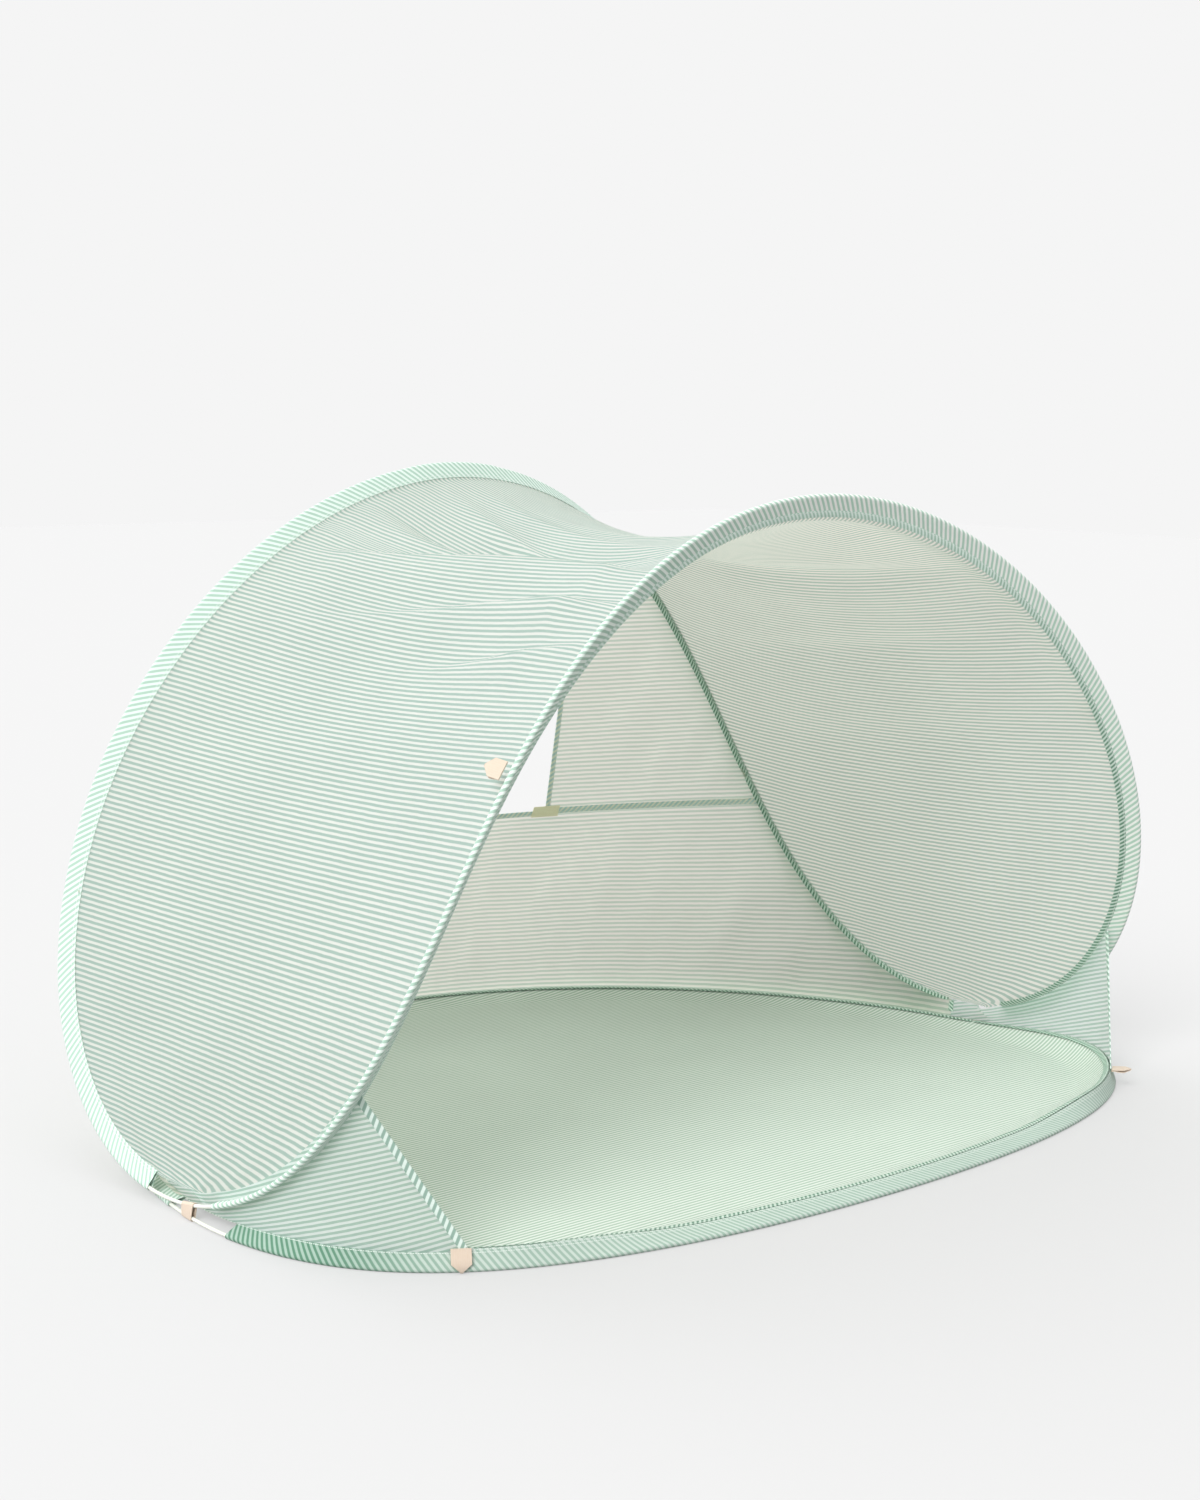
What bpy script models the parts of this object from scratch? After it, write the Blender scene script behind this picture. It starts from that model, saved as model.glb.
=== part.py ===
# Low beach tent. A striped cloth shell is held open by two sprung rods, each bent into a closed hoop.
# The front is towards -Y, the ground is z = 0, and the two corners where the hoops meet lie on the X axis.

import bmesh
import bpy
from math import acos, atan2, cos, exp, hypot, pi, radians, sin
from mathutils import Vector

# Canopy hoop, metres. Its angle runs from the right corner over the front arch to the left corner and back.
CORNER_HALF_WIDTH = 0.7799
CORNER_ROD_HEIGHT = 0.0183
CANOPY_SIDE_BULGE = 0.0690
CANOPY_SIDE_FINE = 0.0027
CANOPY_SIDE_LEAN = 0.0045
CANOPY_DEPTH = 0.4971
CANOPY_DEPTH_THIRD = 0.1045
CANOPY_BACK_SHIFT = 0.0297
CANOPY_BACK_FOURTH = 0.0110
CANOPY_RISE = 0.4480
CANOPY_RISE_FOURTH = 0.0080
CANOPY_FRONT_LIFT = 0.0218
CANOPY_FRONT_LIFT_THIRD = 0.0300
CANOPY_SAG = 0.065

# Floor hoop. At the corners it lies a little further out than the canopy hoop that is tied to it.
CORNER_STEP_OUT = 0.0058
FLOOR_HALF_WIDTH = CORNER_HALF_WIDTH + CORNER_STEP_OUT
FLOOR_SIDE_BULGE = 0.0178
FLOOR_BACK_OFFSET = 0.0707
FLOOR_DEPTH = 0.6115
FLOOR_DEPTH_THIRD = 0.0079
FLOOR_BACK_SHIFT = 0.0964
FLOOR_RIM_RUN = 0.050

# Rods, cloth and webbing.
ROD_RADIUS = 0.0025
CLOTH = 0.0008
TAPE = 0.0012
HEM_TAPE = 0.0005
WEBBING = 0.0010
WEBBING_WIDTH = 0.025
CLEARANCE = 0.0003
SLEEVE_MID_RADIUS = 0.0035
SLEEVE_SWELL = 0.0011
BAND_WIDTH = 0.024
SEAM_HALF_SPREAD = 0.0007
TAPE_WIDTH = 0.009
TAPE_OVERLAP = 0.002
HEM_WIDTH = 0.008
HEM_ABOVE_FOOT = 0.012
FERRULE_LENGTH = 0.050
FERRULE_WALL = 0.0007
ROD_END_GAP = 0.0028

# Rear wall, its window and the webbing pieces.
CROSS_SEAM_HEIGHT = 0.333
CROSS_SEAM_WIDTH = 0.010
WALL_WAVE = 0.003
FOLD_HEIGHT = 0.005
FOLD_HALF_WIDTH = 0.045
PATCH_LENGTH = 0.050
PATCH_DROP = 0.001
SLIVER = 0.008
TAB_SHOULDER = 0.018
TAB_REACH = 0.027
TAB_TIP_WIDTH = 0.004
TAB_INNER_GAP = 0.0006
TAB_ROOT_BACK = 0.0009
MERGE_DISTANCE = 0.00002

# Angles on the hoops, radians, and shares of a length.
FRONT_ARCH_START = 0.065
REAR_ARCH_START = 0.115
FLOOR_FRONT_START = 0.039
FLOOR_REAR_START = 0.200
CANOPY_END = 0.025
SEAM_CANOPY_ANGLE = 0.080
GUSSET_CANOPY_STATION = 5
GUSSET_FLOOR_STATION = 8
BINDING_SPLIT_ANGLE = 0.045
FERRULE_TURN = 0.036
FERRULE_CLEAR_TURN = 0.108
HOOP_TAB_STATION = 11
LOW_BAND_TILT = radians(15)
FRONT_BAND_TILT = radians(25)
UPRIGHT_BAND_TILT = radians(75)
UPRIGHT_BEGINS = -0.2
UPRIGHT_FULL = 0.45
UPRIGHT_ENDS = 0.8
UPRIGHT_GONE = 1.2
FRONT_TILT_FULL = 1.3
RIM_TURN_SHARE = 0.4
TAB_LIFT_ON_ARCH = radians(35)
TAB_LIFT_RIGHT = radians(75)
NEAREST_AIM_TURN = 0.06
SMALL_TURN = 0.001
HALF_SHARE = 0.5
WINDOW_TOP_SHARE = 0.63
WALL_WAVES = 9
ARCH_STATIONS = 40
FRONT_FLOOR_STATIONS = 34
REAR_FLOOR_STATIONS = 42
CORNER_STATIONS = 4
LEAD_STATIONS = 7
WINDOW_SIDE_COLUMN = 16
SLEEVE_TURNS = 4
FERRULE_POINTS = 13
TIE_POINTS = 8
TIE_ROWS = 5
SIDE_WALL_ROWS = 6
BEVEL_STEPS = 2
SHARE_DIGITS = 4
CANOPY_ROWS = 6
SEARCH_STEPS = 40

FLOOR_ROD_HEIGHT = SLEEVE_MID_RADIUS + CLOTH * HALF_SHARE
SHEET_REACH = BAND_WIDTH + CLEARANCE
SIDES = {"right": 0, "left": 1}
UP = Vector((0, 0, 1))

# Creases of the canopy: angle on the front arch, angle on the rear arch, share of the fold height.
CREASES = (
    (1.78, 1.98, 1.0),
    (2.02, 2.13, 0.9),
    (2.25, 2.30, 0.6),
    (1.36, 1.16, 0.8),
    (1.05, 0.90, 0.5),
)

for old in list(bpy.data.objects):
    bpy.data.objects.remove(old, do_unlink=True)
tent = bpy.data.collections.new("beach_tent")
bpy.context.scene.collection.children.link(tent)


# Materials

def finish(name, colour, roughness, metallic=0):
    made = bpy.data.materials.new(name)
    made.use_nodes = True
    shader = made.node_tree.nodes["Principled BSDF"]
    shader.inputs["Base Color"].default_value = (*colour, 1)
    shader.inputs["Roughness"].default_value = roughness
    shader.inputs["Metallic"].default_value = metallic
    return made


MINT = (0.60, 0.80, 0.70)
DEEP_MINT = (0.42, 0.63, 0.54)
FLOOR_MINT = (0.55, 0.74, 0.65)
CREAM = (0.85, 0.84, 0.78)
PEACH = (0.86, 0.72, 0.58)
KHAKI = (0.62, 0.60, 0.42)
STEEL = (0.62, 0.62, 0.60)
CLOTH_ROUGHNESS = 0.85
ROD_ROUGHNESS = 0.45
STEEL_ROUGHNESS = 0.35


# Curves of the hoops

def smooth_step(low, high, value):
    share = min(max((value - low) / (high - low), 0), 1)
    return share * share * (3 - 2 * share)


def canopy_rod(t):
    x = (CORNER_HALF_WIDTH * cos(t) - CANOPY_SIDE_BULGE * (cos(3 * t) - cos(t))
         + CANOPY_SIDE_FINE * (cos(5 * t) - cos(t)) - CANOPY_SIDE_LEAN * sin(2 * t))
    y = (-CANOPY_DEPTH * sin(t) - CANOPY_DEPTH_THIRD * sin(3 * t)
         + CANOPY_BACK_SHIFT * (1 - cos(2 * t)) + CANOPY_BACK_FOURTH * (1 - cos(4 * t)))
    z = (CORNER_ROD_HEIGHT + CANOPY_RISE * (1 - cos(2 * t)) - CANOPY_RISE_FOURTH * (1 - cos(4 * t))
         + CANOPY_FRONT_LIFT * sin(t) + CANOPY_FRONT_LIFT_THIRD * sin(3 * t))
    return Vector((x, y, z))


def floor_rod(t):
    x = FLOOR_HALF_WIDTH * cos(t) - FLOOR_SIDE_BULGE * (cos(3 * t) - cos(t))
    y = (-FLOOR_BACK_OFFSET - FLOOR_DEPTH * sin(t) + FLOOR_DEPTH_THIRD * sin(3 * t)
         + FLOOR_BACK_SHIFT * (1 - cos(2 * t)))
    behind = abs(atan2(cos(t), -sin(t)))
    over_ferrule = 1 - smooth_step(FERRULE_TURN, FERRULE_CLEAR_TURN, behind)
    return Vector((x, y, FLOOR_ROD_HEIGHT + SLEEVE_SWELL * over_ferrule))


def angle_at(reading, goal, low, high):
    """Angle between low and high where a steadily changing reading meets the goal."""
    rising = reading(high) > reading(low)
    for step in range(SEARCH_STEPS):
        middle = (low + high) * HALF_SHARE
        if (reading(middle) < goal) == rising:
            low = middle
        else:
            high = middle
    return (low + high) * HALF_SHARE


def tangent(rod, t):
    return (rod(t + SMALL_TURN) - rod(t - SMALL_TURN)).normalized()


def middle_line(t):
    return (canopy_rod(t) + canopy_rod(-t)) * HALF_SHARE


def inward_normal(t):
    along = middle_line(t + SMALL_TURN) - middle_line(t - SMALL_TURN)
    return along.cross(Vector((0, 1, 0))).normalized()


def canopy_sag(t):
    return CANOPY_SAG * sin(t) ** 2


def canopy_seam(t, reach, rise):
    """Point beside the canopy rod: reach along the sleeve band, rise towards the outside."""
    centre = canopy_rod(t)
    along = tangent(canopy_rod, t)
    turn = min(max(abs(t), NEAREST_AIM_TURN), pi - NEAREST_AIM_TURN)
    aim = middle_line(turn) + inward_normal(turn) * 2 * canopy_sag(turn) - centre
    inward = (aim - along * aim.dot(along)).normalized()
    return centre + inward * reach + inward.cross(along) * rise


def band_tilt(t):
    """Slope of the floor sleeve's band: low behind, upright beside the side walls."""
    turn = atan2(sin(t), abs(cos(t)))
    leaves = smooth_step(UPRIGHT_ENDS, UPRIGHT_GONE, turn)
    upright = smooth_step(UPRIGHT_BEGINS, UPRIGHT_FULL, turn) * (1 - leaves)
    low = LOW_BAND_TILT + (FRONT_BAND_TILT - LOW_BAND_TILT) * smooth_step(UPRIGHT_ENDS, FRONT_TILT_FULL, turn)
    return low + (UPRIGHT_BAND_TILT - low) * upright


def floor_seam(t, reach, rise):
    """Point beside the floor rod: reach along the sleeve band, rise towards the upper side."""
    inward = tangent(floor_rod, t).cross(UP)
    tilt = band_tilt(t)
    out = inward * (reach * cos(tilt) - rise * sin(tilt))
    return floor_rod(t) + out + UP * (reach * sin(tilt) + rise * cos(tilt))


def floor_rim(t, run, rise):
    """Point on the floor sheet beyond the seam, measured along the sheet as it leaves the band."""
    inward = tangent(floor_rod, t).cross(UP)
    turn = (LOW_BAND_TILT - band_tilt(t)) * RIM_TURN_SHARE
    start = floor_seam(t, SHEET_REACH, -SEAM_UNDER)
    across = inward * (run * cos(turn) - rise * sin(turn))
    return start + across + UP * (run * sin(turn) + rise * cos(turn))


def spread(start, end, count):
    return [start + (end - start) * k / (count - 1) for k in range(count)]


# Distances across the seams, from the middle of the sleeve band.
SLEEVE_SPREAD = SEAM_HALF_SPREAD + (SLEEVE_MID_RADIUS - SEAM_HALF_SPREAD) * TAPE_OVERLAP / BAND_WIDTH
SLEEVE_FACE = SLEEVE_SPREAD + CLOTH * HALF_SHARE
SEAM_UNDER = SLEEVE_FACE + CLEARANCE + CLOTH * HALF_SHARE
TAPE_UNDER = SLEEVE_FACE + CLEARANCE + TAPE * HALF_SHARE
WALL_UNDER = TAPE_UNDER + TAPE * HALF_SHARE + 2 * CLEARANCE + CLOTH * HALF_SHARE
WALL_OVER = SLEEVE_FACE + 2 * CLEARANCE + CLOTH * HALF_SHARE
WALL_REACH = BAND_WIDTH - TAPE_OVERLAP
TAPE_ON_FLOOR = CLOTH * HALF_SHARE + CLEARANCE + TAPE * HALF_SHARE
TAB_HALF = TAB_INNER_GAP * HALF_SHARE + WEBBING
TAB_ROOT_RISE = SEAM_HALF_SPREAD + CLOTH * HALF_SHARE + CLEARANCE + TAB_HALF


# Makers of pieces

def add_piece(name, mesh, colour, roughness=CLOTH_ROUGHNESS, metallic=0, origin=None):
    data = bpy.data.meshes.new(name)
    mesh.to_mesh(data)
    mesh.free()
    data.materials.append(finish(name, colour, roughness, metallic))
    data.shade_smooth()
    piece = bpy.data.objects.new(name, data)
    tent.objects.link(piece)
    if origin is not None:
        for corner in data.vertices:
            corner.co -= origin
        piece.location = origin
    return piece


def cloth(name, points, thickness, colour, keep=None, ring=False, origin=None):
    """Sheet through a grid of points, given its thickness evenly to both sides."""
    columns = len(points) - 1
    rows = len(points[0]) - 1
    mesh = bmesh.new()
    bmesh.ops.create_grid(mesh, x_segments=columns, y_segments=rows, size=HALF_SHARE)
    places = {}
    for corner in mesh.verts:
        i = round((corner.co.x + HALF_SHARE) * columns)
        j = round((corner.co.y + HALF_SHARE) * rows)
        places[corner] = (i, j)
        corner.co = points[i][j]
    if keep:
        cells = [(face, [places[corner] for corner in face.verts]) for face in mesh.faces]
        holes = [face for face, spots in cells
                 if not keep(min(i for i, j in spots), min(j for i, j in spots))]
        bmesh.ops.delete(mesh, geom=holes, context="FACES")
    if ring:
        bmesh.ops.remove_doubles(mesh, verts=mesh.verts, dist=MERGE_DISTANCE)
    bmesh.ops.recalc_face_normals(mesh, faces=mesh.faces)
    piece = add_piece(name, mesh, colour, origin=origin)
    shell = piece.modifiers.new("thickness", "SOLIDIFY")
    shell.thickness = thickness
    shell.offset = 0
    shell.use_even_offset = True
    return piece


def tube(name, path, radius, colour, roughness, metallic=0, origin=None):
    """Round rod along a path, closed at both ends."""
    line = bpy.data.curves.new(name, "CURVE")
    line.dimensions = "3D"
    run = line.splines.new("POLY")
    run.points.add(len(path) - 1)
    for spot, place in zip(run.points, path):
        spot.co = (*place, 1)
    line.bevel_depth = radius
    line.bevel_resolution = BEVEL_STEPS
    line.use_fill_caps = True
    rough = bpy.data.objects.new(name, line)
    tent.objects.link(rough)
    bpy.context.view_layer.update()
    solid = bpy.data.meshes.new_from_object(rough.evaluated_get(bpy.context.evaluated_depsgraph_get()))
    bpy.data.objects.remove(rough, do_unlink=True)
    mesh = bmesh.new()
    mesh.from_mesh(solid)
    bmesh.ops.remove_doubles(mesh, verts=mesh.verts, dist=MERGE_DISTANCE)
    bmesh.ops.recalc_face_normals(mesh, faces=mesh.faces)
    return add_piece(name, mesh, colour, roughness, metallic, origin)


def sleeve_section(swell):
    """Hairpin round the rod as reach and rise pairs, both layers ending at the seam."""
    radius = SLEEVE_MID_RADIUS + swell
    leave = atan2(SEAM_HALF_SPREAD, BAND_WIDTH) + acos(radius / hypot(SEAM_HALF_SPREAD, BAND_WIDTH))
    turns = spread(leave, 2 * pi - leave, SLEEVE_TURNS + 1)
    round_part = [(radius * cos(turn), radius * sin(turn)) for turn in turns]
    return [(BAND_WIDTH, SEAM_HALF_SPREAD)] + round_part + [(BAND_WIDTH, -SEAM_HALF_SPREAD)]


def sleeve(name, seam, angles, swollen, origin=None):
    points = []
    for k, t in enumerate(angles):
        swell = SLEEVE_SWELL if k in swollen else 0
        points.append([seam(t, reach, rise) for reach, rise in sleeve_section(swell)])
    return cloth(name, points, CLOTH, MINT, origin=origin)


def tape(name, point, angles, origin=None, colour=DEEP_MINT):
    """Flat binding tape. point(t, share) gives its middle surface, share 0 to 1 across."""
    return cloth(name, [[point(t, 0), point(t, 1)] for t in angles], TAPE, colour, origin=origin)


def edge_hem(name, edge, origin=None):
    """Tape folded round an edge. edge is a list of (point, way off the sheet, sheet normal)."""
    spread_out = CLOTH * HALF_SHARE + 2 * CLEARANCE + HEM_TAPE * HALF_SHARE
    past = 2 * CLEARANCE + HEM_TAPE * HALF_SHARE
    section = ((-HEM_WIDTH, 1), (past, 1), (past, -1), (-HEM_WIDTH, -1))
    points = [[place + off * reach + normal * side * spread_out for reach, side in section]
              for place, off, normal in edge]
    return cloth(name, points, HEM_TAPE, DEEP_MINT, origin=origin)


# Rods

FOLD_AXIS = Vector((0, 0, CORNER_ROD_HEIGHT))
FRONT_ARCH = spread(FRONT_ARCH_START, pi - FRONT_ARCH_START, ARCH_STATIONS)
REAR_ARCH = spread(-REAR_ARCH_START, REAR_ARCH_START - pi, ARCH_STATIONS)
FLOOR_FRONT = spread(FLOOR_FRONT_START, pi - FLOOR_FRONT_START, FRONT_FLOOR_STATIONS)
FLOOR_REAR = spread(-FLOOR_REAR_START, FLOOR_REAR_START - pi, REAR_FLOOR_STATIONS)


def hoop(name, rod, front_angles, rear_angles):
    """One closed hoop: a front rod, two rear rods, and the ferrule that joins them."""
    depth = lambda t: rod(t).y
    ahead = angle_at(depth, -ROD_END_GAP, -FLOOR_REAR_START, FLOOR_REAR_START)
    behind = angle_at(depth, ROD_END_GAP, -FLOOR_REAR_START, FLOOR_REAR_START)
    lead_in = spread(ahead, front_angles[0], LEAD_STATIONS)[:-1]
    front = lead_in + front_angles + [pi - t for t in reversed(lead_in)]
    tube(name + "_front", [rod(t) for t in front], ROD_RADIUS, CREAM, ROD_ROUGHNESS, origin=FOLD_AXIS)
    lead_in = spread(behind, rear_angles[0], LEAD_STATIONS)[:-1]
    half = len(rear_angles) // 2
    right = [rod(t) for t in lead_in + rear_angles[:half]]
    left = [rod(-pi - t) for t in lead_in] + [rod(t) for t in reversed(rear_angles[half:])]
    middle = (right[-1] + left[-1]) * HALF_SHARE
    along = (left[-1] - right[-1]).normalized()
    tube(name + "_rear_right", right + [middle - along * CLEARANCE], ROD_RADIUS, CREAM, ROD_ROUGHNESS)
    tube(name + "_rear_left", left + [middle + along * CLEARANCE], ROD_RADIUS, CREAM, ROD_ROUGHNESS)
    radius = ROD_RADIUS + CLEARANCE + FERRULE_WALL * HALF_SHARE
    side = along.cross(UP).normalized()
    top = side.cross(along)
    turns = spread(0, 2 * pi, FERRULE_POINTS)
    points = [[middle + along * FERRULE_LENGTH * end + side * radius * cos(turn) + top * radius * sin(turn)
               for turn in turns] for end in (-HALF_SHARE, HALF_SHARE)]
    ferrule = cloth(name + "_ferrule", points, FERRULE_WALL, STEEL, ring=True)
    ferrule.data.materials[0] = finish(name + "_ferrule", STEEL, STEEL_ROUGHNESS, 1)


hoop("canopy_hoop", canopy_rod, FRONT_ARCH, REAR_ARCH)
hoop("floor_hoop", floor_rod, FLOOR_FRONT, FLOOR_REAR)

# Sleeves: striped bands folded round the rods, left open at the corners.
sleeve("front_arch_sleeve", canopy_seam, FRONT_ARCH, (), FOLD_AXIS)
sleeve("rear_arch_sleeve", canopy_seam, REAR_ARCH,
       (ARCH_STATIONS // 2 - 1, ARCH_STATIONS // 2))
sleeve("floor_front_sleeve", floor_seam, FLOOR_FRONT, (), FOLD_AXIS)
sleeve("floor_rear_sleeve", floor_seam, FLOOR_REAR,
       (REAR_FLOOR_STATIONS // 2 - 1, REAR_FLOOR_STATIONS // 2))


# Canopy: one sheet slung between the arches, rounded at its ends.

# Its edges follow the same stations as the two sleeves, with one more column between each pair.

def canopy_sheet(front_angle, rear_angle, share):
    t = front_angle + (rear_angle - front_angle) * share
    crease = 0
    for front_end, rear_end, height_share in CREASES:
        off = (t - front_end - (rear_end - front_end) * share) * CORNER_HALF_WIDTH
        crease += FOLD_HEIGHT * height_share * exp(-(off / FOLD_HALF_WIDTH) ** 2)
    drop = canopy_sag(t) * 4 * share * (1 - share) - crease * sin(pi * share) ** 2
    front = canopy_seam(front_angle, SHEET_REACH, 0)
    rear = canopy_seam(-rear_angle, SHEET_REACH, 0)
    return front.lerp(rear, share) + inward_normal(t) * drop


shares = spread(0, 1, CANOPY_ROWS + 1)
front_side = [CANOPY_END] + FRONT_ARCH + [pi - CANOPY_END]
rear_side = [CANOPY_END] + [-t for t in REAR_ARCH] + [pi - CANOPY_END]
columns = []
for k, (ahead, behind) in enumerate(zip(front_side, rear_side)):
    if k:
        before = columns[-1]
        after = [canopy_sheet(ahead, behind, share) for share in shares]
        between = [canopy_sheet((ahead + front_side[k - 1]) * HALF_SHARE,
                                (behind + rear_side[k - 1]) * HALF_SHARE, share) for share in shares]
        for edge in (0, -1):
            between[edge] = before[edge].lerp(after[edge], HALF_SHARE)
        columns += [between, after]
    else:
        columns.append([canopy_sheet(ahead, behind, share) for share in shares])
cloth("canopy_panel", columns, CLOTH, MINT)


# Floor sheet: flat on the ground, lifted at its rim to the floor sleeve's seam.

def corner_angles(start, end):
    return spread(start, end, CORNER_STATIONS + 1)[1:-1]


FLOOR_LOOP = (FLOOR_FRONT + corner_angles(FLOOR_FRONT[-1], FLOOR_REAR[-1] + 2 * pi)
              + [t + 2 * pi for t in reversed(FLOOR_REAR)]
              + corner_angles(FLOOR_REAR[0] + 2 * pi, FLOOR_FRONT[0] + 2 * pi) + [FLOOR_FRONT[0] + 2 * pi])


def landing(t):
    place = floor_rim(t, TAPE_WIDTH + FLOOR_RIM_RUN, 0)
    return Vector((place.x, place.y, CLOTH * HALF_SHARE))


rim = [[floor_rim(t, 0, 0), floor_rim(t, TAPE_WIDTH, 0), landing(t)] for t in FLOOR_LOOP]
floor = cloth("floor_panel", rim, CLOTH, FLOOR_MINT, ring=True)
mesh = bmesh.new()
mesh.from_mesh(floor.data)
inner = [edge for edge in mesh.edges if edge.is_boundary
         and all(corner.co.z < CLOTH for corner in edge.verts)]
bmesh.ops.edgeloop_fill(mesh, edges=inner)
bmesh.ops.recalc_face_normals(mesh, faces=mesh.faces)
mesh.to_mesh(floor.data)
mesh.free()
floor.data.shade_smooth()


# Walls between the canopy's seam and the floor's seam. Their columns are straight lines that start and end
# on the stations of the two seams, so every strip sewn to them follows the same folds.

def along_line(places, u):
    """Point at share u of a line through evenly numbered places."""
    spot = min(max(u, 0), 1) * (len(places) - 1)
    k = min(int(spot), len(places) - 2)
    return places[k].lerp(places[k + 1], spot - k)


def wall_foot(t):
    return floor_seam(t, WALL_REACH, WALL_OVER)


def wall_head(t):
    return canopy_seam(t, WALL_REACH, -WALL_UNDER)


rear_feet = [wall_foot(t) for t in FLOOR_REAR]
rear_heads = [wall_head(t) for t in [-SEAM_CANOPY_ANGLE] + REAR_ARCH + [SEAM_CANOPY_ANGLE - pi]]
column_shares = spread(0, 1, REAR_FLOOR_STATIONS)
window_side = column_shares[WINDOW_SIDE_COLUMN]
hidden_side = column_shares[-1 - WINDOW_SIDE_COLUMN]


def rear_at(u, height):
    foot = along_line(rear_feet, u)
    head = along_line(rear_heads, u)
    return foot.lerp(head, (height - foot.z) / (head.z - foot.z))


def rear_normal(u, height):
    """Normal of the rear wall, towards the inside."""
    across = rear_at(u + SMALL_TURN, height) - rear_at(u - SMALL_TURN, height)
    up = along_line(rear_heads, u) - along_line(rear_feet, u)
    return up.cross(across).normalized()


def head_height(u):
    return along_line(rear_heads, u).z


def columns_between(start, end):
    return [start] + [u for u in column_shares if start + SMALL_TURN < u < end - SMALL_TURN] + [end]


seam_share = angle_at(head_height, CROSS_SEAM_HEIGHT, 0, HALF_SHARE)
upper_share = angle_at(head_height, CROSS_SEAM_HEIGHT + SLIVER, 0, HALF_SHARE)
lower_shares = (columns_between(0, seam_share) + columns_between(seam_share, 1 - seam_share)[1:-1]
                + columns_between(1 - seam_share, 1))
upper_shares = columns_between(upper_share, 1 - upper_share)


def lower_point(u, share):
    foot = along_line(rear_feet, u).z
    top = min(CROSS_SEAM_HEIGHT - CLEARANCE * HALF_SHARE, head_height(u))
    height = foot + (top - foot) * share
    wave = WALL_WAVE * sin(2 * pi * WALL_WAVES * u) * sin(pi * share) * sin(pi * u)
    return rear_at(u, height) + rear_normal(u, height) * wave


wall_rows = [0, HALF_SHARE * HALF_SHARE, HALF_SHARE, 1 - HALF_SHARE * HALF_SHARE, 1]
cloth("rear_wall_lower", [[lower_point(u, share) for share in wall_rows] for u in lower_shares], CLOTH, MINT)

upper_rows = [0, WINDOW_TOP_SHARE * HALF_SHARE, WINDOW_TOP_SHARE, (1 + WINDOW_TOP_SHARE) * HALF_SHARE, 1]


def upper_height(u, share):
    bottom = CROSS_SEAM_HEIGHT + CLEARANCE * HALF_SHARE
    return bottom + (head_height(u) - bottom) * share


def outside_window(i, j):
    u = (upper_shares[i] + upper_shares[i + 1]) * HALF_SHARE
    return not (window_side < u < hidden_side and upper_rows[j] < WINDOW_TOP_SHARE)


cloth("rear_wall_upper", [[rear_at(u, upper_height(u, share)) for share in upper_rows] for u in upper_shares],
      CLOTH, MINT, keep=outside_window)

side_feet_angles = ([-FLOOR_REAR_START] + corner_angles(-FLOOR_REAR_START, FLOOR_FRONT_START)
                    + FLOOR_FRONT[:GUSSET_FLOOR_STATION])
side_head_angles = ([-SEAM_CANOPY_ANGLE] + corner_angles(-SEAM_CANOPY_ANGLE, BINDING_SPLIT_ANGLE)
                    + [BINDING_SPLIT_ANGLE] + FRONT_ARCH[:GUSSET_CANOPY_STATION + 1])
side_feet = [wall_foot(t) for t in side_feet_angles]
side_heads = [wall_head(t) for t in side_head_angles]
both_lines = spread(0, 1, len(side_feet)) + spread(0, 1, len(side_heads))
side_shares = sorted(set([round(u, SHARE_DIGITS) for u in both_lines]))
side_shares[0] = CLEARANCE / CORNER_HALF_WIDTH
side_length = sum((side_feet[k + 1] - side_feet[k]).length for k in range(len(side_feet) - 1))
side_shares.insert(-1, 1 - 2 * HEM_WIDTH / side_length)


side_rows = spread(0, 1, SIDE_WALL_ROWS)


def side_at(u, share):
    return along_line(side_feet, u).lerp(along_line(side_heads, u), share)


def mirrored(place):
    return Vector((-place.x, place.y, place.z))


def on_side(place, side):
    return mirrored(place) if side else place


for side_name, side in SIDES.items():
    points = [[on_side(side_at(u, share), side) for share in side_rows] for u in side_shares]
    cloth("side_wall_" + side_name, points, CLOTH, MINT)


# Binding tapes along the seams.

def tape_under_canopy(t, share):
    return canopy_seam(t, BAND_WIDTH - TAPE_OVERLAP + TAPE_WIDTH * share, -TAPE_UNDER)


def tape_on_floor(t, share):
    return floor_rim(t, SEAM_HALF_SPREAD + TAPE_WIDTH * share, TAPE_ON_FLOOR)


def both_ends(lead, run, turn):
    return lead + run + [turn - t for t in reversed(lead)]


split_gap = CLEARANCE / CORNER_HALF_WIDTH
tape("front_arch_binding", tape_under_canopy,
     both_ends([BINDING_SPLIT_ANGLE + split_gap], FRONT_ARCH, pi), FOLD_AXIS)
rear_lead = ([BINDING_SPLIT_ANGLE - split_gap] + corner_angles(BINDING_SPLIT_ANGLE, -SEAM_CANOPY_ANGLE)
             + [-SEAM_CANOPY_ANGLE])
tape("rear_arch_binding", tape_under_canopy, both_ends(rear_lead, REAR_ARCH, -pi))
floor_turn = angle_at(lambda t: -floor_seam(t, WALL_REACH, 0).y, 0, -FLOOR_REAR_START, 0)
split_gap = ROD_END_GAP / FLOOR_DEPTH
floor_lead = [floor_turn + split_gap] + [t for t in side_feet_angles
                                         if floor_turn + split_gap < t < FLOOR_FRONT_START]
tape("floor_front_binding", tape_on_floor, both_ends(floor_lead, FLOOR_FRONT, pi), FOLD_AXIS)
floor_lead = [floor_turn - split_gap] + [t for t in reversed(side_feet_angles)
                                         if -FLOOR_REAR_START < t < floor_turn - split_gap]
tape("floor_rear_binding", tape_on_floor, both_ends(floor_lead, FLOOR_REAR, -pi))

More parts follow.
